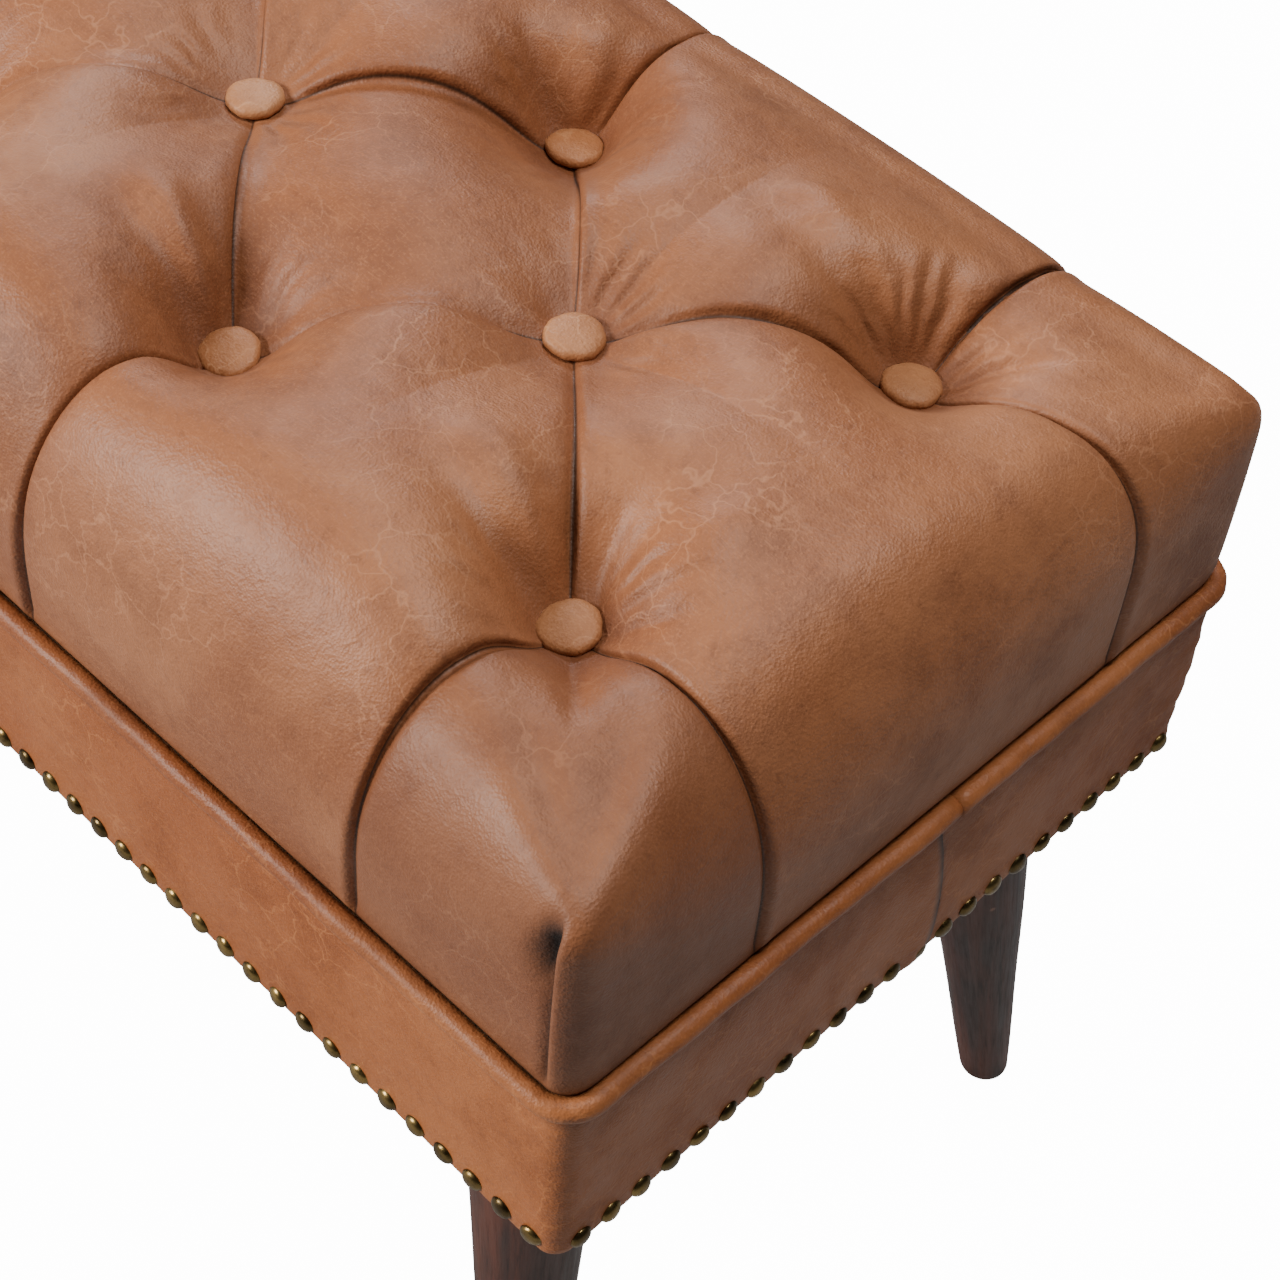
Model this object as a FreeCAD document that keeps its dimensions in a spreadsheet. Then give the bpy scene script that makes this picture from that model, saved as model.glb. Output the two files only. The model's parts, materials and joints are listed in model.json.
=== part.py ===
import FreeCAD, Part
import math
import os
import Sketcher
from FreeCAD import Placement, Rotation, Vector

# Upholstered bench: a deep-buttoned leather seat on a leather-covered wooden
# frame, with a piped seam, a row of dome nails and four splayed turned legs.
# +X runs along the bench, +Y towards its back, +Z up. The origin is on the
# floor, under the middle of the bench. All sizes are in millimetres.

os.makedirs("parts", exist_ok=True)
doc = FreeCAD.newDocument("bench")

DIMENSIONS = [
    # The plan is measured over the flat leather faces, between the corners.
    ("bench_length", 1040.0),
    ("bench_width", 344.4),
    ("seam_height", 355.3),
    ("band_height", 101.5),
    ("corner_radius", 12.0),
    ("leather_thickness", 1.4),
    ("padding_thickness", 3.6),
    ("band_turn_under", 18.0),
    ("band_joint_offset", 15.0),
    # Wooden frame.
    ("rail_thickness", 22.0),
    ("deck_thickness", 12.0),
    ("cross_rail_offset", 212.5),
    ("cross_rail_height", 60.0),
    ("block_length", 84.0),
    ("block_width", 76.0),
    ("block_height", 45.0),
    # Legs: insets are from the band's corner to the leg's axis.
    ("leg_top_inset_x", 61.8),
    ("leg_top_inset_y", 50.8),
    ("leg_foot_inset_x", 31.1),
    ("leg_foot_inset_y", 20.7),
    ("leg_top_radius", 27.5),
    ("leg_foot_radius", 11.0),
    ("plate_size", 50.0),
    ("plate_thickness", 2.5),
    ("plate_corner_radius", 5.0),
    ("plate_screw_offset", 19.0),
    ("bolt_radius", 4.0),
    ("bolt_depth_in_leg", 38.0),
    ("bolt_depth_in_block", 30.0),
    # Seat cushion: heights are above the seam.
    ("button_pitch", 170.0),
    ("button_columns", 6.0),
    ("button_row_offset", 83.6),
    ("outer_button_seat", 82.0),
    ("middle_button_seat", 97.5),
    ("seam_rise", 19.0),
    ("puff_height", 122.0),
    ("edge_height", 88.0),
    ("edge_inset", 5.0),
    ("side_bulge", 4.0),
    ("hem_width", 6.5),
    ("wadding_thickness", 12.0),
    ("button_radius", 11.15),
    ("button_height", 5.6),
    ("button_edge", 1.4),
    ("shank_plate_radius", 7.0),
    ("shank_plate_thickness", 1.0),
    ("shank_radius", 1.4),
    ("shank_length", 7.0),
    ("twine_radius", 0.9),
    ("toggle_radius", 3.0),
    ("toggle_length", 24.0),
    # Piping between the cushion and the band.
    ("welt_radius", 4.8),
    ("welt_cord_radius", 3.4),
    ("welt_overhang", 1.3),
    ("welt_drop", 4.7),
    ("welt_tail", 10.0),
    # Dome nails along the band's lower edge.
    ("nail_drop", 93.7),
    ("nail_pitch", 14.7),
    ("nail_first", 11.7),
    ("nail_head_radius", 4.8),
    ("nail_head_height", 2.5),
    ("nail_shank_radius", 0.7),
    ("nail_shank_length", 10.5),
    # Wood screws, staples and the black cloth below.
    ("screw_head_radius", 3.6),
    ("screw_shank_radius", 1.8),
    ("screw_length", 38.0),
    ("short_screw_length", 22.0),
    ("dust_cloth_thickness", 0.5),
    ("dust_cloth_inset", 8.0),
    ("staple_width", 10.0),
    ("staple_wire", 0.8),
    ("staple_depth", 6.0),
    ("staple_pitch", 110.0),
    # Gaps left between pieces.
    ("soft_gap", 0.3),
    ("hole_gap", 0.1),
]

sheet = doc.addObject("Spreadsheet::Sheet", "size")
for row, (alias, value) in enumerate(DIMENSIONS, start=1):
    sheet.set(f"A{row}", alias)
    sheet.set(f"B{row}", str(value))
    sheet.setAlias(f"B{row}", alias)
doc.recompute()


def size(alias):
    """A driving dimension's value."""
    return float(sheet.get(alias))


# Levels and insets that follow from the driving dimensions, as expressions.
# An inset is measured inwards from the band's outer face.
BAND_BOTTOM = "(size.seam_height - size.band_height)"
RAIL_BOTTOM = f"({BAND_BOTTOM} + size.leather_thickness)"
DECK_BOTTOM = "(size.seam_height - size.deck_thickness)"
RAIL_INSET = "(size.leather_thickness + size.padding_thickness)"
RAIL_INNER = f"({RAIL_INSET} + size.rail_thickness)"
WELT_HEIGHT = "(size.seam_height - size.welt_drop)"
WELT_INNER = "(size.welt_radius - size.welt_overhang)"
WELT_WALL = "(size.welt_radius - size.welt_cord_radius)"
BAND_TOP = f"({WELT_HEIGHT} - size.welt_radius - size.soft_gap)"
TAIL_BOTTOM = f"({BAND_TOP} - size.welt_tail)"
CLOTH_BOTTOM = f"({RAIL_BOTTOM} - size.dust_cloth_thickness)"
LEG_TOP = f"({CLOTH_BOTTOM} - size.plate_thickness)"

# The same levels as numbers, for the shapes that are worked out point by point.
band_bottom = size("seam_height") - size("band_height")
rail_bottom = band_bottom + size("leather_thickness")
deck_bottom = size("seam_height") - size("deck_thickness")
rail_inset = size("leather_thickness") + size("padding_thickness")
rail_inner = rail_inset + size("rail_thickness")
cloth_bottom = rail_bottom - size("dust_cloth_thickness")
leg_top = cloth_bottom - size("plate_thickness")
half_length = size("bench_length") / 2
half_width = size("bench_width") / 2
screw_head_height = size("screw_head_radius") - size("screw_shank_radius")
SCREW_TIP_RADIUS = 0.3

subparts = []


def keep(item, label):
    """Gives a finished sub-part its name."""
    item.Label = label
    subparts.append(item)
    return item


def bind(item, bindings):
    for name, expression in bindings.items():
        item.setExpression(name, expression)
    return item


def block(name, low, extent):
    """A box from its lowest corner and its extents, as expressions."""
    item = doc.addObject("Part::Box", name)
    bind(item, {"Length": extent[0], "Width": extent[1], "Height": extent[2]})
    bind(item, {f"Placement.Base.{axis}": low[i] for i, axis in enumerate("xyz")})
    return item


def cut(name, base, tool):
    item = doc.addObject("Part::Cut", name)
    item.Base = base
    item.Tool = tool
    item.Refine = False
    return item


def common(name, base, tool):
    item = doc.addObject("Part::Common", name)
    item.Base = base
    item.Tool = tool
    item.Refine = False
    return item


def drilled(name, base, holes):
    """A piece with those of the given holes that reach it."""
    doc.recompute()
    room = base.Shape.BoundBox
    near = [hole for hole in holes if room.intersect(hole.BoundBox)]
    return cut(name, base, feature(name + "_holes", Part.makeCompound(near)))


def fuse(name, base, tool):
    item = doc.addObject("Part::Fuse", name)
    item.Base = base
    item.Tool = tool
    item.Refine = False
    return item


def feature(name, shape):
    item = doc.addObject("Part::Feature", name)
    item.Shape = shape
    return item


def value_of(expression):
    """An expression's number, from the sheet's values."""
    probe = doc.addObject("App::FeaturePython", "probe")
    probe.addProperty("App::PropertyFloat", "Value")
    probe.setExpression("Value", expression)
    probe.recompute()
    number = probe.Value
    doc.removeObject(probe.Name)
    return number


VERTICAL_EDGES = (1, 3, 5, 7)


def plan_block(name, inset, low, high):
    """The bench's round-cornered plan, moved in by an inset, between two levels."""
    base = block(
        name + "_box",
        (f"{inset} - size.bench_length / 2", f"{inset} - size.bench_width / 2", low),
        (f"size.bench_length - 2 * {inset}", f"size.bench_width - 2 * {inset}",
         f"{high} - {low}"),
    )
    radius = size("corner_radius") - value_of(inset)
    if radius <= 0:
        return base
    item = doc.addObject("Part::Fillet", name)
    item.Base = base
    item.Edges = [(edge, radius, radius) for edge in VERTICAL_EDGES]
    return item


def turned(name, profile):
    """A revolved body. The profile's points are (radius, height) expressions."""
    body = doc.addObject("PartDesign::Body", name)
    plane = [p for p in body.Origin.OriginFeatures if p.Role == "XZ_Plane"][0]
    sketch = body.newObject("Sketcher::SketchObject", name + "_profile")
    sketch.AttachmentSupport = [(plane, "")]
    sketch.MapMode = "FlatFace"
    points = [Vector(value_of(r), value_of(z), 0) for r, z in profile]
    count = len(points)
    for i in range(count):
        line = Part.LineSegment(points[i], points[(i + 1) % count])
        sketch.addGeometry(line, False)
    for i in range(count):
        sketch.addConstraint(Sketcher.Constraint("Coincident", i, 2, (i + 1) % count, 1))
    for i, (radius, height) in enumerate(profile):
        for kind, axis, expression in (("DistanceX", -2, radius), ("DistanceY", -1, height)):
            if expression == "0":
                sketch.addConstraint(Sketcher.Constraint("PointOnObject", i, 1, axis))
                continue
            number = value_of(expression)
            at = sketch.addConstraint(Sketcher.Constraint(kind, -1, 1, i, 1, number))
            sketch.setExpression(f"Constraints[{at}]", expression)
    turn = body.newObject("PartDesign::Revolution", name + "_turn")
    turn.Profile = sketch
    turn.ReferenceAxis = (sketch, ["V_Axis"])
    turn.Angle = 360
    doc.recompute()
    return body


def screw_shape(length, gap):
    """A countersunk screw pointing down, its head's top face at the origin."""
    down = Vector(0, 0, -1)
    shank_radius = size("screw_shank_radius")
    point_length = 2 * shank_radius
    shank_length = length - screw_head_height - point_length
    head = Part.makeCone(size("screw_head_radius") + gap, shank_radius + gap,
                         screw_head_height, Vector(0, 0, 0), down)
    shank = Part.makeCylinder(shank_radius + gap, shank_length, down * screw_head_height, down)
    point = Part.makeCone(shank_radius + gap, SCREW_TIP_RADIUS + gap, point_length + gap,
                          down * (screw_head_height + shank_length), down)
    return head.fuse([shank, point])


def placed(shape, at, direction):
    """A copy of a shape made along -Z, at a place and pointing along a direction."""
    copy = shape.copy()
    turn = Rotation(Vector(0, 0, -1), Vector(*direction))
    copy.Placement = Placement(Vector(*at), turn)
    return copy


def screw_group(label, spots, length):
    """Keeps screws at (place, direction) spots and returns the holes they need."""
    screw = screw_shape(length, 0)
    hole = screw_shape(length, size("hole_gap"))
    keep(feature(label, Part.makeCompound([placed(screw, p, d) for p, d in spots])), label)
    return [placed(hole, p, d) for p, d in spots]


# Places that repeat.

corners = [(sx, sy) for sx in (-1, 1) for sy in (-1, 1)]
corner_names = {(-1, -1): "front_left", (1, -1): "front_right",
                (-1, 1): "back_left", (1, 1): "back_right"}


def leg_line(sx, sy):
    """The leg's axis: its point on the floor, and its point at the leg's top."""
    foot = Vector(sx * (half_length - size("leg_foot_inset_x")),
                  sy * (half_width - size("leg_foot_inset_y")), 0)
    top = Vector(sx * (half_length - size("leg_top_inset_x")),
                 sy * (half_width - size("leg_top_inset_y")), leg_top)
    return foot, top


def button_rows():
    """The buttons' places, row by row, at the level of the leather under them."""
    columns = int(round(size("button_columns")))
    first = -size("button_pitch") * (columns - 1) / 2
    outer = [first + i * size("button_pitch") for i in range(columns)]
    middle = [x + size("button_pitch") / 2 for x in outer[:-1]]
    low = size("seam_height") + size("outer_button_seat")
    high = size("seam_height") + size("middle_button_seat")
    return {
        "front": [Vector(x, -size("button_row_offset"), low) for x in outer],
        "middle": [Vector(x, 0, high) for x in middle],
        "back": [Vector(x, size("button_row_offset"), low) for x in outer],
    }


def nail_run(run):
    """Even places along one side, between its first and last nail."""
    reach = run / 2 - size("nail_first")
    gaps = int(round(2 * reach / size("nail_pitch")))
    return [-reach + 2 * reach * i / gaps for i in range(gaps + 1)]


# Dome nails and the holes for their shanks.


def dome_profile(radius, height, base):
    """Points of a low dome, from its rim up to just before its middle."""
    points = []
    for angle in range(0, 90, 15):
        out = math.cos(math.radians(angle))
        up = math.sin(math.radians(angle))
        points.append((f"{radius} * {out:.4f}", f"{base} + {height} * {up:.4f}"))
    return points


nail = turned("dome_nail", [
    ("0", "0"),
    ("size.nail_shank_radius", "2 * size.nail_shank_radius"),
    ("size.nail_shank_radius", "size.nail_shank_length"),
    *dome_profile("size.nail_head_radius", "size.nail_head_height", "size.nail_shank_length"),
    ("0", "size.nail_shank_length + size.nail_head_height"),
])
nail_level = size("seam_height") - size("nail_drop")
long_run = nail_run(size("bench_length"))
end_run = nail_run(size("bench_width"))
nail_sides = {
    "front": [(Vector(x, -half_width, nail_level), Vector(0, -1, 0)) for x in long_run],
    "back": [(Vector(x, half_width, nail_level), Vector(0, 1, 0)) for x in long_run],
    "left_end": [(Vector(-half_length, y, nail_level), Vector(-1, 0, 0)) for y in end_run],
    "right_end": [(Vector(half_length, y, nail_level), Vector(1, 0, 0)) for y in end_run],
}
nail_holes = []
for side, spots in nail_sides.items():
    copies = []
    for place, outwards in spots:
        start = place - outwards * size("nail_shank_length")
        copy = nail.Shape.copy()
        copy.Placement = Placement(start, Rotation(Vector(0, 0, 1), outwards))
        copies.append(copy)
        nail_holes.append(Part.makeCylinder(
            size("nail_shank_radius") + size("hole_gap"),
            size("nail_shank_length") + size("corner_radius"),
            start - outwards * size("hole_gap"), outwards))
    keep(feature("nails_" + side, Part.makeCompound(copies)), "nails_" + side)

# Staples that hold the black cloth: a crown and two legs, driven upwards.

STAPLE_LAP = 0.01


def staple_shape(gap):
    wire = size("staple_wire")
    reach = size("staple_width") / 2
    crown = Part.makeBox(2 * reach + 2 * gap, wire + 2 * gap, wire + gap,
                         Vector(-reach - gap, -wire / 2 - gap, -wire - gap))
    legs = [
        Part.makeBox(wire + 2 * gap, wire + 2 * gap, size("staple_depth") + gap,
                     Vector(x - gap, -wire / 2 - gap, -STAPLE_LAP))
        for x in (-reach, reach - wire)
    ]
    return crown.fuse(legs)


def staple_spots():
    """Places and turns, around the cloth's rim."""
    inset = (size("dust_cloth_inset") + size("band_turn_under")) / 2
    spots = []
    for run, across, turn in ((size("bench_length"), half_width, 0),
                              (size("bench_width"), half_length, 90)):
        reach = run / 2 - 2 * inset
        count = max(2, int(round(2 * reach / size("staple_pitch"))) + 1)
        for i in range(count):
            along = -reach + 2 * reach * i / (count - 1)
            for side in (-1, 1):
                out = side * (across - inset)
                place = (along, out) if turn == 0 else (out, along)
                spots.append((place, turn))
    return spots


def staples(gap):
    shape = staple_shape(gap)
    level = band_bottom - size("dust_cloth_thickness")
    copies = []
    for (x, y), turn in staple_spots():
        copy = shape.copy()
        copy.Placement = Placement(Vector(x, y, level), Rotation(Vector(0, 0, 1), turn))
        copies.append(copy)
    return copies


keep(feature("staples", Part.makeCompound(staples(0))), "dust_cover_staples")
staple_holes = staples(size("hole_gap"))

# Screws of the frame.

rail_middle_level = (rail_bottom + deck_bottom) / 2
screw_rise = (deck_bottom - rail_bottom) / 4
cross_middle_level = deck_bottom - size("cross_rail_height") / 2
# Places along half a side, as shares of it.
LONG_DECK_SCREWS = (-0.9, -0.54, -0.18, 0.18, 0.54, 0.9)
END_DECK_SCREWS = (-0.45, 0.45)


def frame_screw_spots():
    """Through the long rails into the end rails and the cross rails."""
    spots = []
    for sx, sy in corners:
        y = sy * (half_width - rail_inset)
        end_x = sx * (half_length - rail_inset - size("rail_thickness") / 2)
        for rise in (-screw_rise, screw_rise):
            spots.append(((end_x, y, rail_middle_level + rise), (0, -sy, 0)))
        cross_x = sx * size("cross_rail_offset")
        for rise in (-size("cross_rail_height") / 4, size("cross_rail_height") / 4):
            spots.append(((cross_x, y, cross_middle_level + rise), (0, -sy, 0)))
    return spots


def deck_screw_spots():
    """Down through the deck into the middle of the rails."""
    inset = rail_inset + size("rail_thickness") / 2
    level = size("seam_height")
    spots = []
    for sy in (-1, 1):
        for share in LONG_DECK_SCREWS:
            spots.append(((share * half_length, sy * (half_width - inset), level), (0, 0, -1)))
    for sx in (-1, 1):
        for share in END_DECK_SCREWS:
            spots.append(((sx * (half_length - inset), share * half_width, level), (0, 0, -1)))
    return spots


def plate_screw_spots():
    spots = []
    for sx, sy in corners:
        top = leg_line(sx, sy)[1]
        for ox, oy in corners:
            offset = size("plate_screw_offset")
            spots.append(((top.x + ox * offset, top.y + oy * offset, leg_top), (0, 0, 1)))
    return spots


frame_screw_holes = screw_group("frame_screws", frame_screw_spots(), size("screw_length"))
deck_screw_holes = screw_group("deck_screws", deck_screw_spots(),
                               size("short_screw_length") + size("deck_thickness"))
plate_screw_holes = screw_group("leg_plate_screws", plate_screw_spots(),
                                size("short_screw_length"))

# Hanger bolts: one threads into each leg and up into its corner block.


def bolts(gap):
    copies = []
    for sx, sy in corners:
        foot, top = leg_line(sx, sy)
        axis = (top - foot).normalize()
        start = top - axis * (size("bolt_depth_in_leg") + gap)
        length = size("bolt_depth_in_leg") + size("bolt_depth_in_block") + 2 * gap
        copies.append(Part.makeCylinder(size("bolt_radius") + gap, length, start, axis))
    return copies


keep(feature("bolts", Part.makeCompound(bolts(0))), "hanger_bolts")
bolt_holes = bolts(size("hole_gap"))

# Wooden frame: two long rails, two end rails between them, two cross rails,
# four corner blocks and a plywood deck.

rail_holes = nail_holes + staple_holes + frame_screw_holes + deck_screw_holes
rail_holes += plate_screw_holes
frame_plan = plan_block("frame_plan", RAIL_INSET, RAIL_BOTTOM, DECK_BOTTOM)
RAIL_HEIGHT = f"({DECK_BOTTOM} - {RAIL_BOTTOM})"
for side, low in (("front", f"{RAIL_INSET} - size.bench_width / 2"),
                  ("back", f"size.bench_width / 2 - {RAIL_INNER}")):
    slab = block(f"{side}_rail_slab", ("-size.bench_length / 2", low, RAIL_BOTTOM),
                 ("size.bench_length", "size.rail_thickness", RAIL_HEIGHT))
    blank = common(f"{side}_rail_blank", frame_plan, slab)
    keep(drilled(f"{side}_rail", blank, rail_holes), f"{side}_rail")

BETWEEN_RAILS = f"(size.bench_width - 2 * {RAIL_INNER})"
for side, low in (("left", f"{RAIL_INSET} - size.bench_length / 2"),
                  ("right", f"size.bench_length / 2 - {RAIL_INNER}")):
    blank = block(f"{side}_rail_blank", (low, f"-{BETWEEN_RAILS} / 2", RAIL_BOTTOM),
                  ("size.rail_thickness", BETWEEN_RAILS, RAIL_HEIGHT))
    keep(drilled(f"{side}_end_rail", blank, rail_holes), f"{side}_end_rail")

for side, centre in (("left", "-size.cross_rail_offset"), ("right", "size.cross_rail_offset")):
    blank = block(f"{side}_cross_blank",
                  (f"{centre} - size.rail_thickness / 2", f"-{BETWEEN_RAILS} / 2",
                   f"{DECK_BOTTOM} - size.cross_rail_height"),
                  ("size.rail_thickness", BETWEEN_RAILS, "size.cross_rail_height"))
    keep(drilled(f"{side}_cross_rail", blank, frame_screw_holes), f"{side}_cross_rail")

for (sx, sy), corner in corner_names.items():
    low_x = f"{RAIL_INNER} - size.bench_length / 2"
    low_y = f"{RAIL_INNER} - size.bench_width / 2"
    if sx > 0:
        low_x = f"-({low_x}) - size.block_length"
    if sy > 0:
        low_y = f"-({low_y}) - size.block_width"
    blank = block(f"{corner}_block_blank", (low_x, low_y, RAIL_BOTTOM),
                  ("size.block_length", "size.block_width", "size.block_height"))
    holes = bolt_holes + plate_screw_holes + frame_screw_holes
    keep(drilled(f"{corner}_block", blank, holes), f"corner_block_{corner}")

# Button twines and their toggles under the deck.

rows = button_rows()
all_buttons = [place for row in rows.values() for place in row]
toggle_level = deck_bottom - size("toggle_radius")
SHAFT_OVERRUN = 1


def under_buttons(radius, low, rise):
    """Upright cylinders under the buttons, from a level to a rise over each seat."""
    return [
        Part.makeCylinder(radius, place.z + rise - low, Vector(place.x, place.y, low))
        for place in all_buttons
    ]


twines = under_buttons(size("twine_radius"), toggle_level, -size("shank_length"))
keep(feature("twines", Part.makeCompound(twines)), "button_twines")
button_shafts = under_buttons(size("shank_radius") + size("soft_gap"), toggle_level,
                              SHAFT_OVERRUN)

toggles = []
for place in all_buttons:
    start = Vector(place.x - size("toggle_length") / 2, place.y, toggle_level)
    dowel = Part.makeCylinder(size("toggle_radius"), size("toggle_length"), start,
                              Vector(1, 0, 0))
    hole = Part.makeCylinder(size("twine_radius") + size("hole_gap"),
                             size("toggle_radius") + SHAFT_OVERRUN,
                             Vector(place.x, place.y, toggle_level))
    toggles.append(dowel.cut(hole))
keep(feature("toggles", Part.makeCompound(toggles)), "twine_toggles")

deck_plan = plan_block("deck_plan", RAIL_INSET, DECK_BOTTOM, "size.seam_height")
keep(drilled("seat_deck", deck_plan, button_shafts + deck_screw_holes), "seat_deck")

# Legs: turned cones, splayed outwards, cut flat at the floor and at the plate.

LEG_SPAN = (f"sqrt(pow(size.leg_top_inset_x - size.leg_foot_inset_x; 2)"
            f" + pow(size.leg_top_inset_y - size.leg_foot_inset_y; 2) + pow({LEG_TOP}; 2))")
LEG_OVERRUN = "(2 * size.leg_foot_radius * size.leg_foot_radius / size.leg_top_radius)"
TAPER = f"((size.leg_top_radius - size.leg_foot_radius) / {LEG_SPAN})"
leg_slab = block("leg_slab", ("-size.bench_length", "-size.bench_width", "0"),
                 ("2 * size.bench_length", "2 * size.bench_width", LEG_TOP))
leg_overrun = value_of(LEG_OVERRUN)
for (sx, sy), corner in corner_names.items():
    foot, top = leg_line(sx, sy)
    axis = (top - foot).normalize()
    cone = doc.addObject("Part::Cone", f"leg_{corner}_cone")
    bind(cone, {"Radius1": f"size.leg_foot_radius - {TAPER} * {LEG_OVERRUN}",
                "Radius2": f"size.leg_top_radius + {TAPER} * {LEG_OVERRUN}",
                "Height": f"{LEG_SPAN} + 2 * {LEG_OVERRUN}"})
    cone.Placement = Placement(foot - axis * leg_overrun, Rotation(Vector(0, 0, 1), axis))
    blank = common(f"leg_{corner}_blank", cone, leg_slab)
    keep(drilled(f"leg_{corner}", blank, bolt_holes), f"leg_{corner}")

    plate = block(f"plate_{corner}_box",
                  (f"{sx} * (size.bench_length / 2 - size.leg_top_inset_x)"
                   " - size.plate_size / 2",
                   f"{sy} * (size.bench_width / 2 - size.leg_top_inset_y)"
                   " - size.plate_size / 2", LEG_TOP),
                  ("size.plate_size", "size.plate_size", "size.plate_thickness"))
    rounded = doc.addObject("Part::Fillet", f"plate_{corner}_rounded")
    rounded.Base = plate
    radius = size("plate_corner_radius")
    rounded.Edges = [(edge, radius, radius) for edge in VERTICAL_EDGES]
    holes = bolt_holes + plate_screw_holes
    keep(drilled(f"leg_plate_{corner}", rounded, holes), f"leg_plate_{corner}")

# Black cloth under the frame: its rim lies on the turned-under leather.

CLOTH_STEP = "(size.band_turn_under + size.soft_gap)"
cloth_rim = plan_block("cloth_rim", "size.dust_cloth_inset",
                       f"({BAND_BOTTOM} - size.dust_cloth_thickness)", BAND_BOTTOM)
cloth_pan = plan_block("cloth_pan", CLOTH_STEP,
                       f"({BAND_BOTTOM} - size.dust_cloth_thickness)", RAIL_BOTTOM)
cloth_hollow = plan_block("cloth_hollow", f"({CLOTH_STEP} + size.dust_cloth_thickness)",
                          f"({BAND_BOTTOM} - 2 * size.dust_cloth_thickness)", CLOTH_BOTTOM)
cloth = cut("cloth_tray", fuse("cloth_blank", cloth_rim, cloth_pan), cloth_hollow)
keep(drilled("dust_cover", cloth, bolt_holes + plate_screw_holes + staple_holes),
     "dust_cover")

# Leather band: a front and a back strip that meet on the ends, both turned
# under the rails. Thin padding lies between the band and the rails.

band_outer = plan_block("band_outer", "0", BAND_BOTTOM, BAND_TOP)
band_pocket = plan_block("band_pocket", "size.leather_thickness", RAIL_BOTTOM,
                         f"({BAND_TOP} + 1)")
band_opening = plan_block("band_opening", "size.band_turn_under", f"({BAND_BOTTOM} - 1)",
                          f"({RAIL_BOTTOM} + 1)")
band = cut("band_tray", cut("band_wall", band_outer, band_pocket), band_opening)
front_space = block("front_space", ("-size.bench_length", "-size.bench_width", "0"),
                    ("2 * size.bench_length", "size.bench_width + size.band_joint_offset",
                     "2 * size.seam_height"))
back_space = block("back_space",
                   ("-size.bench_length", "size.band_joint_offset + size.hole_gap", "0"),
                   ("2 * size.bench_length", "size.bench_width", "2 * size.seam_height"))
for side, space in (("front", front_space), ("back", back_space)):
    strip = common(f"{side}_band_blank", band, space)
    keep(drilled(f"{side}_band", strip, nail_holes + staple_holes), f"{side}_band")

padding_outer = plan_block("padding_outer", "size.leather_thickness", RAIL_BOTTOM,
                           f"({TAIL_BOTTOM} - size.soft_gap)")
padding_inner = plan_block("padding_inner", RAIL_INSET, f"({RAIL_BOTTOM} - 1)",
                           "size.seam_height")
padding = cut("padding_ring", padding_outer, padding_inner)
keep(drilled("padding", padding, nail_holes), "band_padding")

# Piping: a leather strip round a cord, with a tail that is stapled to the deck.


def plan_path(inset, level):
    """The plan's closed outline at an inset, as lines and quarter arcs."""
    radius = size("corner_radius") - inset
    x = half_length - inset
    y = half_width - inset
    diagonal = radius * (1 - math.sqrt(0.5))
    edges = []
    for sx, sy in ((1, -1), (1, 1), (-1, 1), (-1, -1)):
        ends = [Vector(sx * x, sy * (y - radius), level), Vector(sx * (x - radius), sy * y, level)]
        if sx == sy:
            start, end = ends
        else:
            end, start = ends
        middle = Vector(sx * (x - diagonal), sy * (y - diagonal), level)
        edges.append(Part.Arc(start, middle, end).toShape())
    lines = []
    for i, arc in enumerate(edges):
        following = edges[(i + 1) % len(edges)]
        lines.append(Part.makeLine(arc.Vertexes[-1].Point, following.Vertexes[0].Point))
    wire = []
    for arc, line in zip(edges, lines):
        wire += [arc, line]
    return Part.Wire(wire)


def plan_tube(inset, level, radius):
    """A round tube along the plan's outline."""
    path = plan_path(inset, level)
    start = path.Edges[1].Vertexes[0].Point
    following = path.Edges[1].Vertexes[1].Point
    ring = Part.Wire(Part.makeCircle(radius, start, following - start))
    shell = Part.BRepOffsetAPI.MakePipeShell(Part.Wire(path.Edges[1:] + path.Edges[:1]))
    shell.add(ring)
    shell.setTransitionMode(0)
    shell.build()
    shell.makeSolid()
    return shell.shape()


welt_level = size("seam_height") - size("welt_drop")
welt_tube = feature("welt_tube", plan_tube(-size("welt_overhang"), welt_level,
                                           size("welt_radius")))
cord_tube = plan_tube(-size("welt_overhang"), welt_level, size("welt_cord_radius"))
keep(feature("cord_tube", cord_tube), "welt_cord")
tail_outer = plan_block("tail_outer", f"({WELT_INNER} - {WELT_WALL})", TAIL_BOTTOM, WELT_HEIGHT)
tail_inner = plan_block("tail_inner", WELT_INNER, f"({TAIL_BOTTOM} - 1)",
                        "size.seam_height")
tail = cut("welt_tail_ring", tail_outer, tail_inner)
welt = fuse("welt_whole", welt_tube, tail)
cord_space = feature("cord_space", cord_tube)
welt = cut("welt_hollow", welt, cord_space)
keep(common("front_welt", welt, front_space), "front_welt")
keep(common("back_welt", welt, back_space), "back_welt")

# Seat cushion. Its skin is a ruled loft through upright sections across the
# bench: a bottom line, two sides, and arcs that rise between sewn channels.
# The channels run on the diagonals between the buttons, and at each button
# they widen into a flat seat. Heights are above the seam.

# Flat seats under the buttons: their half width, and how it narrows to the reach.
SEAT_REACH = size("button_radius") + 0.6
SEAT_WELL = size("button_radius") + 1.3
SEAT_NARROWING = 3
# Places along a channel after its seat, and the channel's rise at them.
CHANNEL_START = SEAT_REACH + 3
CHANNEL_RISEN = CHANNEL_START + 5
START_RISE = 2
RISEN_RISE = 8
CHANNEL_HALF = 1.5
RIDGE_HALF = 0.4
# The arc in front of a channel starts this much over it.
FRONT_RISE = 3
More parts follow.
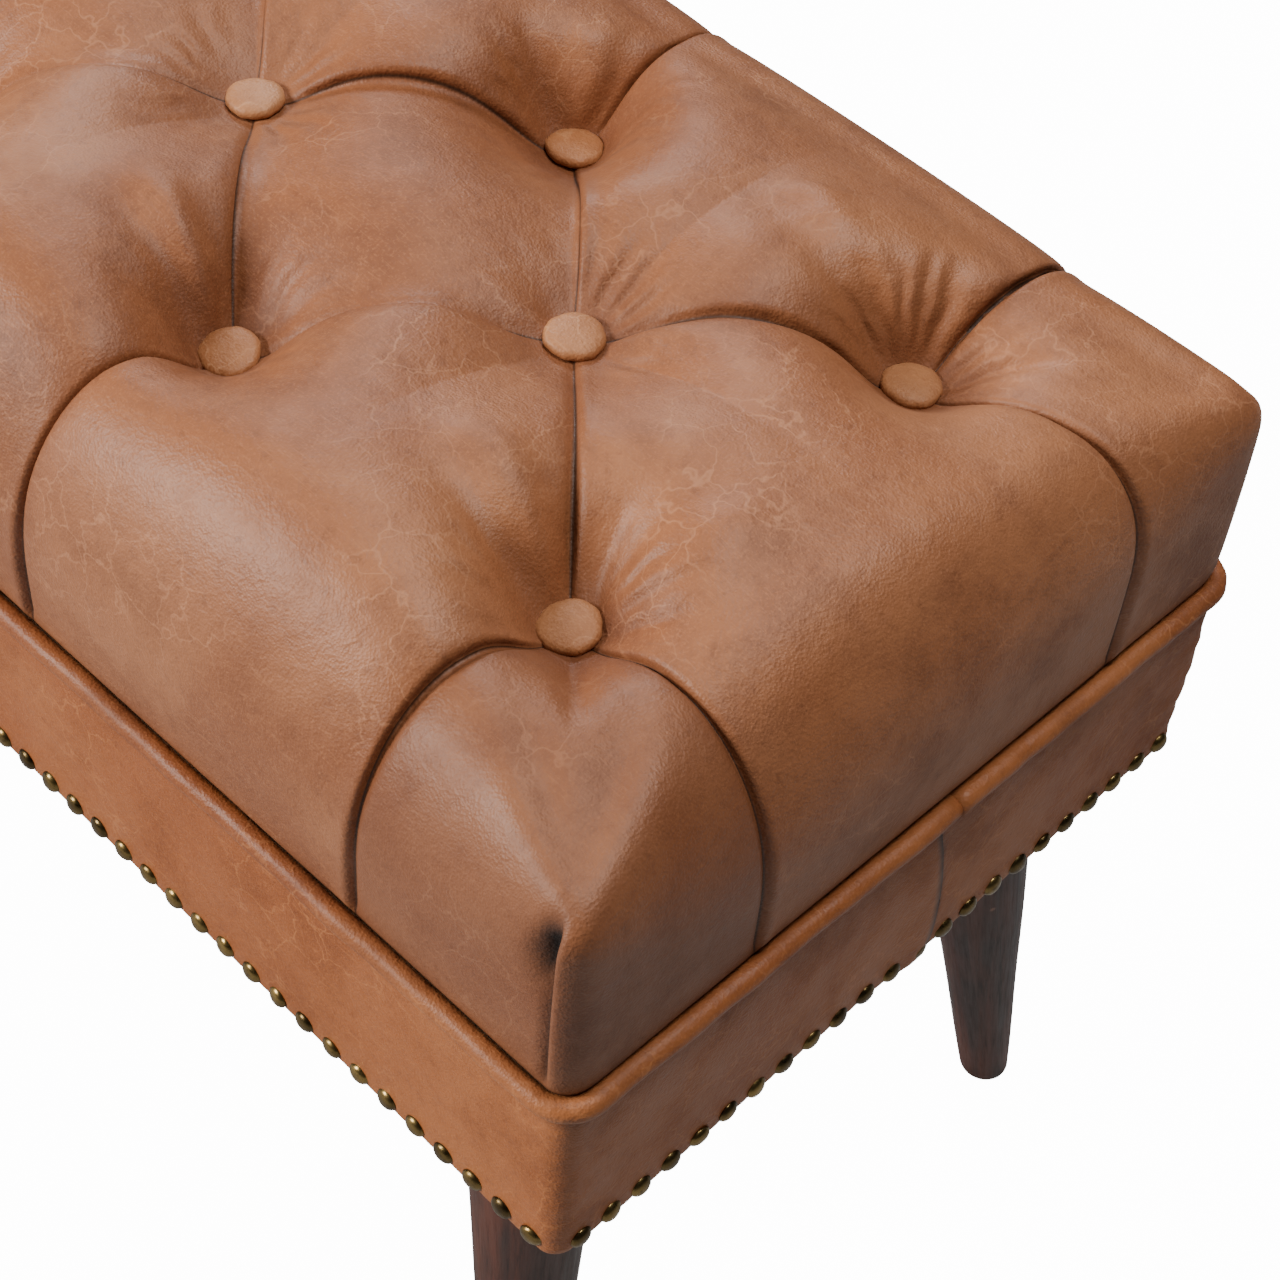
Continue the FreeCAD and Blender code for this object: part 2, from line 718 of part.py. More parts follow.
# The middle arc's sink at the diagonals' middle, and its rises near a seat.
MIDDLE_SINK = 2
MIDDLE_RISES = (13, 5)
# No arc is rounder than this share of its span.
ROUNDEST = 0.45
ROUNDING = 0.01
# Distance from the end, and the share of its height that the cushion has there.
END_ROUNDING = [(0, 0.6), (2, 0.72), (6.5, 0.82), (12, 0.89), (25, 0.965), (50, 1)]


def between(value, steps):
    """Straight interpolation through (place, height) steps."""
    for (x0, y0), (x1, y1) in zip(steps, steps[1:]):
        if value <= x1:
            return y0 + (y1 - y0) * (value - x0) / (x1 - x0)
    return steps[-1][1]


def section_between_buttons(t):
    """The front channel, its level and both arcs' tops, at a distance from an
    outer button's column towards the next middle button's."""
    half_pitch = size("button_pitch") / 2
    row = size("button_row_offset")
    low = size("outer_button_seat")
    high = size("middle_button_seat")
    puff = size("puff_height")
    ahead = half_pitch - t
    if t < SEAT_REACH + ROUNDING:
        reach = SEAT_WELL - SEAT_NARROWING * t / SEAT_REACH
        channel = (-row - reach, -row + reach)
        level = low
    elif ahead < SEAT_REACH + ROUNDING:
        reach = SEAT_WELL - SEAT_NARROWING * ahead / SEAT_REACH
        channel = (-reach, -RIDGE_HALF)
        level = high
    else:
        centre = -row * ahead / half_pitch
        channel = (centre - CHANNEL_HALF, centre + CHANNEL_HALF)
        level = between(t, [(CHANNEL_START, low + START_RISE),
                            (CHANNEL_RISEN, low + RISEN_RISE),
                            (half_pitch / 2, (low + high) / 2 + size("seam_rise")),
                            (half_pitch - CHANNEL_RISEN, high + RISEN_RISE),
                            (half_pitch - CHANNEL_START, high + START_RISE)])
    seam_top = low + size("seam_rise") + FRONT_RISE
    front = seam_top + (puff - seam_top) * between(
        t, [(0, 0), (SEAT_REACH, 0.45), (CHANNEL_RISEN, 0.65), (half_pitch / 2, 0.92),
            (half_pitch, 1)])
    middle = between(t, [(0, puff), (half_pitch / 2, puff - MIDDLE_SINK),
                         (half_pitch - CHANNEL_RISEN, high + MIDDLE_RISES[0]),
                         (half_pitch - CHANNEL_START, high + MIDDLE_RISES[1]),
                         (half_pitch - SEAT_REACH, high)])
    return channel, level, front, middle


def section_at_end(t):
    """The same, from the last outer button's column towards the cushion's end."""
    if t < SEAT_REACH + ROUNDING:
        return section_between_buttons(t)
    row = size("button_row_offset")
    low = size("outer_button_seat")
    puff = size("puff_height")
    risen = size("button_pitch") / 4
    channel = (-row - CHANNEL_HALF, -row + CHANNEL_HALF)
    level = between(t, [(CHANNEL_START, low + START_RISE), (CHANNEL_RISEN, low + RISEN_RISE),
                        (risen, low + size("seam_rise"))])
    seam_top = low + size("seam_rise") + FRONT_RISE
    front = seam_top + (puff - seam_top) * between(
        t, [(0, 0), (SEAT_REACH, 0.45), (CHANNEL_RISEN, 0.6), (risen, 0.75)])
    return channel, level, front, puff


def section_wire(x, section, narrow, scale, shrink, hem, lift):
    """One closed section. narrow rounds the plan's corners and scale lowers it
    towards the ends; shrink moves it inwards; a hem cuts its lower corners off,
    and lift raises its bottom."""
    (outer, inner), level, front, middle = section
    seam = size("seam_height")
    half = half_width - shrink - narrow
    edge = seam + size("edge_height") * scale - shrink
    level = seam + level * scale - shrink
    top_y = half - size("edge_inset")
    points = [(half, seam + hem), (-half, seam + hem), (-top_y, edge), (outer, level),
              (inner, level), (-inner, level), (-outer, level), (top_y, edge)]
    front_rise = seam + front * scale - shrink - (edge + level) / 2
    middle_rise = max(seam + middle * scale - shrink - level, 0)
    side = size("side_bulge")
    rises = [0, side, front_rise, 0, middle_rise, 0, front_rise, side]
    if hem:
        bottom = seam + lift
        points = [(half - hem, bottom), (hem - half, bottom)] + points[1:] + points[:1]
        rises = [0, 0] + rises[1:] + [0]
    edges = []
    for i, rise in enumerate(rises):
        y0, z0 = points[i]
        y1, z1 = points[(i + 1) % len(points)]
        start = Vector(x, y0, z0)
        end = Vector(x, y1, z1)
        if rise == 0:
            edges.append(Part.makeLine(start, end))
            continue
        span = math.hypot(y1 - y0, z1 - z0)
        rise = min(rise, ROUNDEST * span)
        crest = Vector(x, (y0 + y1) / 2 - (z1 - z0) / span * rise,
                       (z0 + z1) / 2 + (y1 - y0) / span * rise)
        edges.append(Part.Arc(start, crest, end).toShape())
    return Part.Wire(edges)


def cushion_solid(shrink, hem):
    """The loft through all sections, from the left end to the right end."""
    radius = size("corner_radius")
    half_pitch = size("button_pitch") / 2
    columns = [place.x for place in rows["front"]]
    margin = half_length - columns[-1]
    distances = [d for d, scale in END_ROUNDING]
    distances += [margin - CHANNEL_RISEN, margin - CHANNEL_START, margin - SEAT_REACH]
    ends = []
    for d in distances:
        narrow = radius - math.sqrt(radius ** 2 - (radius - d) ** 2) if d < radius else 0
        lift = max(0, hem - d)
        place = half_length - d - shrink * (1 - d / margin) ** 2
        ends.append((place, section_at_end(margin - d), narrow,
                     between(d, END_ROUNDING), lift))
    offsets = [0, SEAT_REACH, CHANNEL_START, CHANNEL_RISEN, half_pitch / 2,
               half_pitch - CHANNEL_RISEN, half_pitch - CHANNEL_START,
               half_pitch - SEAT_REACH]
    stations = [(-place, *rest) for place, *rest in ends]
    for column in columns[:-1]:
        for t in offsets:
            stations.append((column + t, section_between_buttons(t), 0, 1, 0))
        for t in [half_pitch] + offsets[:0:-1]:
            place = column + 2 * half_pitch - t
            stations.append((place, section_between_buttons(t), 0, 1, 0))
    stations.append((columns[-1], section_between_buttons(0), 0, 1, 0))
    stations += ends[::-1]
    wires = [section_wire(x, section, narrow, scale, shrink, hem, lift)
             for x, section, narrow, scale, lift in stations]
    return Part.makeLoft(wires, True, True)


def open_below(solid):
    """A cushion form's faces without its bottom, and the bottom's outline."""
    seam = size("seam_height")
    faces = [face for face in solid.Faces if face.BoundBox.ZMax > seam + 0.001]
    edges = [edge for face in faces for edge in face.Edges
             if edge.BoundBox.ZMax < seam + 0.001]
    return faces, Part.Wire(Part.__sortEdges__(edges))


def layer(outer_shrink, inner_shrink, outer_hem, inner_hem):
    """A skin between two cushion forms, open below."""
    outside, outer_rim = open_below(cushion_solid(outer_shrink, outer_hem))
    inside, inner_rim = open_below(cushion_solid(inner_shrink, inner_hem))
    rim = Part.makeFace([outer_rim, inner_rim], "Part::FaceMakerBullseye")
    if rim.normalAt(0, 0).z > 0:
        rim = rim.reversed()
    shell = Part.Shell(outside + [rim] + [face.reversed() for face in inside])
    shell.sewShape()
    return Part.Solid(shell)


hem = size("hem_width")
under_leather = size("leather_thickness")
wadding_outside = under_leather + size("soft_gap")
foam_outside = wadding_outside + size("wadding_thickness")
shafts = Part.makeCompound(button_shafts)
soft_forms = {
    "seat_cover": layer(0, under_leather, 0, hem),
    "seat_wadding": layer(wadding_outside, foam_outside, hem, 0),
    "seat_foam": cushion_solid(foam_outside + size("soft_gap"), 0),
}
for label, form in soft_forms.items():
    keep(feature(label, form.cut(shafts)), label)

# Covered buttons: a leather-faced cap, and a metal plate with a shank that
# goes down through the leather to the twine.

cap_rise = "(size.button_height - size.button_edge)"
recess = "(size.shank_plate_thickness + size.hole_gap)"
cap = turned("button_cap", [
    ("size.shank_plate_radius + size.hole_gap", "0"),
    ("size.button_radius - size.button_edge / 2", "0"),
    *dome_profile("size.button_radius", cap_rise, "size.button_edge"),
    ("0", "size.button_height"),
    ("0", recess),
    ("size.shank_plate_radius + size.hole_gap", recess),
])
shank = turned("button_shank", [
    ("0", "0"),
    ("size.shank_radius", "0"),
    ("size.shank_radius", "size.shank_length"),
    ("size.shank_plate_radius", "size.shank_length"),
    ("size.shank_plate_radius", "size.shank_length + size.shank_plate_thickness"),
    ("0", "size.shank_length + size.shank_plate_thickness"),
])


def copies_at(shape, places, drop):
    copies = []
    for place in places:
        copy = shape.copy()
        copy.Placement = Placement(place - Vector(0, 0, drop), Rotation())
        copies.append(copy)
    return Part.makeCompound(copies)


for row, places in rows.items():
    keep(feature(f"{row}_caps", copies_at(cap.Shape, places, 0)), f"seat_buttons_{row}_row")
keep(feature("shanks", copies_at(shank.Shape, all_buttons, size("shank_length"))),
     "button_shanks")

doc.recompute()
failed = [item.Label for item in doc.Objects
          if "Invalid" in item.State or "Error" in item.State]
if failed:
    raise RuntimeError("failed objects: " + ", ".join(failed))
for item in subparts:
    shape = item.Shape
    if shape.isNull() or not shape.isValid() or not shape.Solids:
        raise RuntimeError("bad shape: " + item.Label)
for item in subparts:
    item.Shape.exportStep(f"parts/{item.Label}.step")
print(len(subparts), "sub-parts,", sum(len(item.Shape.Solids) for item in subparts), "solids")
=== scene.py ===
import json
import math

import bmesh
import bpy
import numpy as np
from mathutils import Matrix, Vector


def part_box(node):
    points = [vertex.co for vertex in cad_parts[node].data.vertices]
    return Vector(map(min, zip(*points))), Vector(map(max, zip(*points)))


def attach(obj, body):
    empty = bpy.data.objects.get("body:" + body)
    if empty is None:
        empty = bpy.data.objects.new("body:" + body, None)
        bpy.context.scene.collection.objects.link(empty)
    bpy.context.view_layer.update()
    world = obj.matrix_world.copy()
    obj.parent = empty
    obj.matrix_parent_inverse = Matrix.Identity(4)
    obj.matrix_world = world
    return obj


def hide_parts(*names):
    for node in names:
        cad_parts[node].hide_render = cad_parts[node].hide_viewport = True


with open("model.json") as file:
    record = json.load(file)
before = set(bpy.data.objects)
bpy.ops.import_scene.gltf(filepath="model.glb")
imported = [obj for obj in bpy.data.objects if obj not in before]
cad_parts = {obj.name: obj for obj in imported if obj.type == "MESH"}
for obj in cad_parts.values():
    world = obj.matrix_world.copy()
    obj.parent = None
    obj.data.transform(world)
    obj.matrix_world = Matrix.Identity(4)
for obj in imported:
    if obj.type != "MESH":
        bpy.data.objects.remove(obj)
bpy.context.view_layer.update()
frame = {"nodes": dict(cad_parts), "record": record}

# The deep-buttoned bench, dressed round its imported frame. Lengths in this
# script are metres; +X runs along the bench, +Y to its back, +Z up.


def low(node):
    return np.array(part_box(node)[0])


def high(node):
    return np.array(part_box(node)[1])


# Driving places, read from the frame.
HALF_LENGTH = high("front_band")[0]
HALF_WIDTH = high("back_band")[1]
SEAM = low("seat_cover")[2]
BAND_BOTTOM = low("front_band")[2]
BAND_TOP = high("front_band")[2]
WELT_LEVEL = (low("welt_cord")[2] + high("welt_cord")[2]) / 2
WELT_REACH = high("front_welt")[0] - HALF_LENGTH
BUTTON_RADIUS = (high("seat_buttons_front_row")[1] - low("seat_buttons_front_row")[1]) / 2
BUTTON_HEIGHT = high("seat_buttons_front_row")[2] - low("seat_buttons_front_row")[2]
ROW = (high("seat_buttons_back_row")[1] + low("seat_buttons_back_row")[1]) / 2
FIRST_COLUMN = low("seat_buttons_front_row")[0] + BUTTON_RADIUS
COLUMNS = 6
PITCH = -2 * FIRST_COLUMN / (COLUMNS - 1)
OUTER_SEAT = low("seat_buttons_front_row")[2] - SEAM
MIDDLE_SEAT = low("seat_buttons_middle_row")[2] - SEAM
NAIL_LEVEL = (low("nails_front")[2] + high("nails_front")[2]) / 2
NAIL_RADIUS = (high("nails_front")[2] - low("nails_front")[2]) / 2

# Shape of the stuffing: heights over the seam.
SEAM_RISE = 0.0245
PUFF = 0.122
CORNER_PUFF = 0.107
TIP_CREST = 0.0925
SIDE_BULGE = 0.003


def linked(name, data):
    item = bpy.data.objects.new(name, data)
    bpy.context.scene.collection.objects.link(item)
    return item


def made(name, points, faces, smooth=True):
    """A new object from points and faces."""
    mesh = bpy.data.meshes.new(name)
    mesh.from_pydata([tuple(p) for p in points], [], [tuple(f) for f in faces])
    mesh.update()
    if smooth:
        mesh.shade_smooth()
    return linked(name, mesh)


def subdivided(item):
    """Applies one smooth subdivision to an object's mesh."""
    item.modifiers.new("smooth", "SUBSURF").levels = 1
    graph = bpy.context.evaluated_depsgraph_get()
    mesh = bpy.data.meshes.new_from_object(item.evaluated_get(graph))
    item.modifiers.clear()
    item.data = mesh
    mesh.shade_smooth()


def write_attribute(mesh, name, values):
    """Stores a number or a vector for each of a mesh's points."""
    values = np.asarray(values, dtype=np.float32)
    vector = values.ndim == 2
    layer = mesh.attributes.new(name, "FLOAT_VECTOR" if vector else "FLOAT", "POINT")
    layer.data.foreach_set("vector" if vector else "value", values.ravel())


def smooth_step(value, start, end):
    t = np.clip((value - start) / (end - start), 0, 1)
    return t * t * (3 - 2 * t)


# Cushion: sewn panels over the stuffing


FINEST_STEP = 0.0011
WIDEST_STEP = 0.010
STEP_GROWTH = 1.5


def graded(length):
    """Places from 0 to 1 along a length: close together at both ends."""
    steps = []
    step = FINEST_STEP
    while sum(steps) + step < length / 2:
        steps.append(step)
        step = min(step * STEP_GROWTH, WIDEST_STEP)
    half = np.concatenate([[0.0], np.cumsum(steps)])
    half = half / (half[-1] + step / 2) * 0.5
    return np.concatenate([half, (1 - half)[::-1]])


SEAM_LENGTH = math.hypot(PITCH / 2, ROW)
DIAGONAL = graded(SEAM_LENGTH)
WALL_STEPS = np.array([0, 0.03, 0.08, 0.18, 0.3, 0.42, 0.54, 0.65, 0.75, 0.84, 0.92])
SHOULDER_STEPS = np.linspace(0, 1, 10)
# Shares of the way from the crest down to the channel at 0.
TOP_FALL = graded(0.2)
TOP_FALL = TOP_FALL[:len(TOP_FALL) // 2 + 2][::-1]
TOP_FALL = (TOP_FALL / TOP_FALL[0])[1:]


def pillow(t, power=0.5):
    """0 at both ends, 1 in the middle, rising steeply at the ends."""
    return np.sin(np.pi * np.clip(t, 0, 1)) ** power


def diagonal(a, b):
    """Points of the seam from button a to button b."""
    t = DIAGONAL[:, None]
    points = a + (b - a) * t
    points[:, 2] += SEAM_RISE * (1 - (1 - 2 * DIAGONAL) ** 2)
    return points


# A soft shoulder and a sharp one: upright wall, width and roundness.
SOFT_WALL, SHARP_WALL = 0.034, 0.080
SOFT_WIDTH, SHARP_WIDTH = 0.052, 0.022
SOFT_POWER, SHARP_POWER = 2.05, 2.35
# The side bulges up to this share of its crest, and is tucked in at the lower seam.
BULGE_TOP = 0.9
TUCK = 0.0016
TUCK_HEIGHT = 0.0030
DIP_POWER = 0.85


def column(bottom, top, crest, bulge, cornered=0.0, hump=0.0, hump_power=0.8):
    """A line from the lower seam, up the side, over the shoulder and down to
    the channel point at its top end. cornered makes its shoulder sharper, and a
    hump fills it between its crest and the channel."""
    plan = (top - bottom)[:2]
    reach = np.linalg.norm(plan)
    inward = plan / reach
    wall = SOFT_WALL + (SHARP_WALL - SOFT_WALL) * cornered
    width = SOFT_WIDTH + (SHARP_WIDTH - SOFT_WIDTH) * cornered
    power = 2 / (SOFT_POWER + (SHARP_POWER - SOFT_POWER) * cornered)
    angle = SHOULDER_STEPS * np.pi / 2
    out = width * (1 - np.abs(np.cos(angle)) ** power)
    rise = wall + (crest - wall) * np.abs(np.sin(angle)) ** power
    out = np.concatenate([np.zeros(len(WALL_STEPS)), out])
    rise = np.concatenate([WALL_STEPS * wall, rise])
    out -= bulge * np.sin(np.pi * np.clip(rise / (BULGE_TOP * crest), 0, 1))
    out += TUCK * np.exp(-rise / TUCK_HEIGHT)
    out_top = reach - (reach - out[-1]) * TOP_FALL
    rise_top = top[2] + (crest - top[2]) * np.sin(np.pi / 2 * TOP_FALL) ** DIP_POWER
    rise_top += hump * np.sin(np.pi * TOP_FALL) ** hump_power
    out = np.concatenate([out, out_top])
    rise = np.concatenate([rise, rise_top])
    points = np.zeros((len(out), 3))
    points[:, :2] = bottom[:2] + inward * out[:, None]
    points[:, 2] = rise
    return points


# Points that fall on one place of this grid are welded: 20000 places to the metre.
WELD_GRID = 20000


class Skin:
    """Collects the panels' grids into one welded mesh. Each point also has its
    distance to the nearest seam, its place along it, its part in it and its tone."""

    def __init__(self):
        self.points = []
        self.index = {}
        self.faces = []
        self.values = []

    def vertex(self, p, *values):
        key = tuple(np.round(p * WELD_GRID).astype(int))
        if key not in self.index:
            self.index[key] = len(self.points)
            self.points.append(np.array(p, float))
            self.values.append(values)
        return self.index[key]

    def panel(self, grid, gap, run, lip, flip=False, tone=0.0):
        rows, cols = grid.shape[:2]
        ids = np.array([[self.vertex(grid[i, j], gap[i, j], run[i, j], lip[i, j], tone)
                         for j in range(cols)] for i in range(rows)])
        for i in range(rows - 1):
            for j in range(cols - 1):
                face = [ids[i, j], ids[i + 1, j], ids[i + 1, j + 1], ids[i, j + 1]]
                face = [v for k, v in enumerate(face) if v != face[k - 1]]
                if len(set(face)) < 3:
                    continue
                self.faces.append(face[::-1] if flip else face)


outer_buttons = {
    side: [np.array([FIRST_COLUMN + i * PITCH, side * ROW, OUTER_SEAT]) for i in range(COLUMNS)]
    for side in (-1, 1)
}
middle_buttons = [np.array([FIRST_COLUMN + (i + 0.5) * PITCH, 0, MIDDLE_SEAT])
                  for i in range(COLUMNS - 1)]
all_buttons = np.array(outer_buttons[-1] + middle_buttons + outer_buttons[1])

# Where the side seams meet the piping, away from their buttons' own places.
LONG_SEAM_SHIFT = {-1: [0.004, -0.003, 0.002, -0.009, -0.010, -0.007],
                   1: [-0.004, 0.003, -0.002, 0.004, -0.001, 0.005]}
END_SEAM_PLACE = {-1: {-1: -0.092, 1: 0.088}, 1: {-1: -0.085, 1: 0.101}}


def nearest(distances, lips):
    """The nearest of some seams, and this panel's part in it: 1 folded over, -1 under."""
    stack = np.stack(distances)
    pick = np.argmin(stack, axis=0)
    return np.min(stack, axis=0), np.choose(pick, lips)


def diamond(left, front, right, back):
    """A panel between four buttons."""
    u = DIAGONAL[:, None]
    v = DIAGONAL[None, :]
    edge_lf, edge_lb = diagonal(left, front), diagonal(left, back)
    edge_fr, edge_br = diagonal(front, right), diagonal(back, right)
    plan = (left[:2] * ((1 - u) * (1 - v))[..., None] + front[:2] * (u * (1 - v))[..., None]
            + back[:2] * ((1 - u) * v)[..., None] + right[:2] * (u * v)[..., None])
    height = ((1 - v) * edge_lf[:, 2][:, None] + v * edge_br[:, 2][:, None]
              + (1 - u) * edge_lb[:, 2][None, :] + u * edge_fr[:, 2][None, :]
              - ((1 - u) * (1 - v) * left[2] + u * (1 - v) * front[2]
                 + (1 - u) * v * back[2] + u * v * right[2]))
    centre = len(DIAGONAL) // 2
    lift = (PUFF - height[centre, centre]) * (pillow(u, 0.42) * pillow(v, 0.42))
    grid = np.concatenate([plan, (height + lift)[..., None]], axis=2)
    shape = grid.shape[:2]
    along_u = np.broadcast_to(u, shape) * SEAM_LENGTH
    along_v = np.broadcast_to(v, shape) * SEAM_LENGTH
    gap, lip = nearest([along_v, along_u, SEAM_LENGTH - along_v, SEAM_LENGTH - along_u],
                       [1, -1, -1, 1])
    run = np.where(np.minimum(along_v, SEAM_LENGTH - along_v) < gap + 1e-9, along_u, along_v)
    return grid, gap, run, lip


def side_panel(first, middle, last, bottom_first, bottom_last, lips, edge):
    """A panel from the channel first-middle-last over the edge to the piping."""
    seam_crest, full_crest, power, sharpness, hump = edge
    top = np.concatenate([diagonal(first, middle), diagonal(middle, last)[1:]])
    share = np.concatenate([DIAGONAL / 2, 0.5 + DIAGONAL[1:] / 2])
    lines = []
    for t, end in zip(share, top):
        bottom = bottom_first + (bottom_last - bottom_first) * t
        crest = seam_crest + (full_crest - seam_crest) * pillow(t, power)
        sharp = sharpness[0] + (sharpness[1] - sharpness[0]) * t
        lines.append(column(bottom, end, crest, SIDE_BULGE * pillow(t, 0.45), sharp,
                            hump * pillow(t, 0.4)))
    grid = np.array(lines)
    return grid, *side_seams(grid, share, lips, fan=False)


def side_seams(grid, share, lips, fan):
    """Seam distances of a side panel. lips are its parts in the first side seam,
    the last one, and the two halves of its top seam."""
    steps = np.linalg.norm(np.diff(grid, axis=1), axis=2)
    along = np.concatenate([np.zeros((len(grid), 1)), np.cumsum(steps, axis=1)], axis=1)
    from_first = np.linalg.norm(grid - grid[:1], axis=2)
    from_last = np.linalg.norm(grid - grid[-1:], axis=2)
    gap, lip = nearest([from_first, from_last], lips[:2])
    if fan:
        return gap, along, lip
    share = share[:, None]
    # The top seam runs at 45 degrees to the columns.
    top_gap = (along[:, -1:] - along) * math.sqrt(0.5)
    lip = np.where(top_gap < gap, np.where(share < 0.5, lips[2], lips[3]), lip)
    run = np.where(top_gap < gap, share * 2 * SEAM_LENGTH, along)
    return np.minimum(gap, top_gap), run, lip


CORNER_RADIUS = 0.0105
CORNER_HUMP = 0.012
CORNER_REACH = 0.050


# Each edge's crest at its seams, crest between them, their power, sharpness at
# its two ends and hump. The front's shoulder is soft and full, the back's is firmer
# and nearly level, and the ends' get firmer towards the back.
LONG_EDGE = {-1: (0.102, 0.122, 0.3, (0.0, 0.0), 0.0),
             1: (0.101, 0.109, 0.15, (0.62, 0.62), 0.016)}
END_EDGE = (0.100, 0.117, 0.5, (0.0, 0.45), 0.006)


def corner_bottom(sx, sy, start, end, steps):
    """Perimeter points round a corner, from the long side to the end, and how
    near each is to the corner."""
    x = HALF_LENGTH - CORNER_RADIUS
    y = HALF_WIDTH - CORNER_RADIUS
    first = x - abs(start[0])
    arc = CORNER_RADIUS * np.pi / 2
    last = y - abs(end[1])
    total = first + arc + last
    points = []
    nearness = []
    for t in steps:
        d = t * total
        if d < first:
            p = (abs(start[0]) + d, HALF_WIDTH)
        elif d < first + arc:
            a = (d - first) / CORNER_RADIUS
            p = (x + CORNER_RADIUS * math.sin(a), y + CORNER_RADIUS * math.cos(a))
        else:
            p = (HALF_LENGTH, y - (d - first - arc))
        points.append(np.array([sx * p[0], sy * p[1], 0]))
        nearness.append(math.exp(-(abs(d - first - arc / 2) / CORNER_REACH) ** 1.5))
    points[0] = start
    points[-1] = end
    nearness = np.array(nearness)
    return points, nearness - (1 - steps) * nearness[0] - steps * nearness[-1]


def corner_panel(sx, sy, button, start, end, lips):
    long_edge = LONG_EDGE[sy]
    first_part = HALF_LENGTH - CORNER_RADIUS - abs(start[0])
    last_part = HALF_WIDTH - abs(end[1])
    total = first_part + CORNER_RADIUS * (np.pi / 2 - 1) + last_part
    steps = np.unique(np.concatenate([graded(first_part) * first_part,
                                      first_part + graded(total - first_part)
                                      * (total - first_part)])) / total
    bottoms, nearness = corner_bottom(sx, sy, start, end, steps)
    lines = []
    for t, near, bottom in zip(steps, nearness, bottoms):
        seam_crest = long_edge[0] + (END_EDGE[0] - long_edge[0]) * t
        crest = seam_crest + (CORNER_PUFF - seam_crest) * pillow(t, 0.35)
        crest += (TIP_CREST - crest) * near
        sharp = long_edge[3][1] * (1 - t) + END_EDGE[3][0 if sy < 0 else 1] * t
        sharp += (1 - sharp) * near
        lines.append(column(bottom, button, crest, SIDE_BULGE * pillow(t, 0.45) * (1 - near),
                            sharp, CORNER_HUMP * max(near, 0) ** 0.7, 1.7))
    grid = np.array(lines)
    return grid, *side_seams(grid, steps, lips, fan=True)


skin = Skin()
# The panels come from different places of the hide: some are a little darker.
hide = np.random.default_rng(5)
CORNER_TONES = {(1, -1): 0.42, (1, 1): 0.04, (-1, -1): 0.15, (-1, 1): 0.22}
for i in range(COLUMNS - 2):
    skin.panel(*diamond(middle_buttons[i], outer_buttons[-1][i + 1], middle_buttons[i + 1],
                        outer_buttons[1][i + 1]))
long_feet = {side: [np.array([b[0] + LONG_SEAM_SHIFT[side][i], side * HALF_WIDTH, 0.0])
                    for i, b in enumerate(outer_buttons[side])] for side in (-1, 1)}
end_feet = {sx: {sy: np.array([sx * HALF_LENGTH, END_SEAM_PLACE[sx][sy], 0.0])
                 for sy in (-1, 1)} for sx in (-1, 1)}
for side in (-1, 1):
    # The front seams fold over from the left, the back seams from the right.
    lips = (-1, 1, -1, -1) if side < 0 else (1, -1, 1, 1)
    for i in range(COLUMNS - 1):
        skin.panel(*side_panel(outer_buttons[side][i], middle_buttons[i],
                               outer_buttons[side][i + 1], long_feet[side][i],
                               long_feet[side][i + 1], lips, LONG_EDGE[side]), flip=side > 0,
                   tone=hide.uniform(0.0, 0.12))
for sx in (-1, 1):
    edge = 0 if sx < 0 else COLUMNS - 1
    middle = middle_buttons[0 if sx < 0 else -1]
    skin.panel(*side_panel(outer_buttons[-1][edge], middle, outer_buttons[1][edge],
                           end_feet[sx][-1], end_feet[sx][1], (1, -1, 1, -1), END_EDGE),
               flip=sx < 0)
    for sy in (-1, 1):
        long_lip = 1 if (sx > 0) == (sy > 0) else -1
        skin.panel(*corner_panel(sx, sy, outer_buttons[sy][edge], long_feet[sy][edge],
                                 end_feet[sx][sy], (long_lip, sy)), flip=sx * sy > 0,
                   tone=CORNER_TONES[(sx, sy)])

points = np.array(skin.points)
gap, seam_run, lip, tone = np.array(skin.values, float).T

# The leather comes up slowly round each button, over these distances.
SETTLING = 0.0135
SETTLING_AHEAD = 0.0125
CORNER_SETTLING = 0.0155
CORNER_SETTLING_AHEAD = 0.0045
UNDER_BUTTON = 0.009
SIDE_TOP = 0.06
offsets = points[:, None, :2] - all_buttons[None, :, :2]
reach = np.linalg.norm(offsets, axis=2)
closest = np.argmin(reach, axis=1)
button_gap = reach[np.arange(len(points)), closest]
seat = all_buttons[closest, 2]
# It rises more slowly on the side of each button that looks to the front right.
from_button = points[:, :2] - all_buttons[closest, :2]
ahead = from_button @ np.array([math.sqrt(0.5), -math.sqrt(0.5)])
ahead = np.clip(ahead / np.maximum(button_gap, 1e-6), 0, 1)
settling = SETTLING + SETTLING_AHEAD * ahead ** 2
# The front right corner is stretched flatter round its button.
settling = np.where(closest == COLUMNS - 1, CORNER_SETTLING + CORNER_SETTLING_AHEAD * ahead,
                    settling)
settled = 1 - np.exp(-(np.clip(button_gap - UNDER_BUTTON, 0, None) / settling) ** 1.25)
on_top = points[:, 2] > SIDE_TOP
points[:, 2] = np.where(on_top, seat + (points[:, 2] - seat) * settled, points[:, 2])


def vertex_normals(points, faces):
    normals = np.zeros_like(points)
    for face in faces:
        a, b, c = points[face[0]], points[face[1]], points[face[2]]
        d = points[face[-1]]
        n = np.cross(c - a, d - b) if len(face) == 4 else np.cross(b - a, c - a)
        for v in face:
            normals[v] += n
    return normals / np.maximum(np.linalg.norm(normals, axis=1), 1e-12)[:, None]


normals = vertex_normals(points, skin.faces)

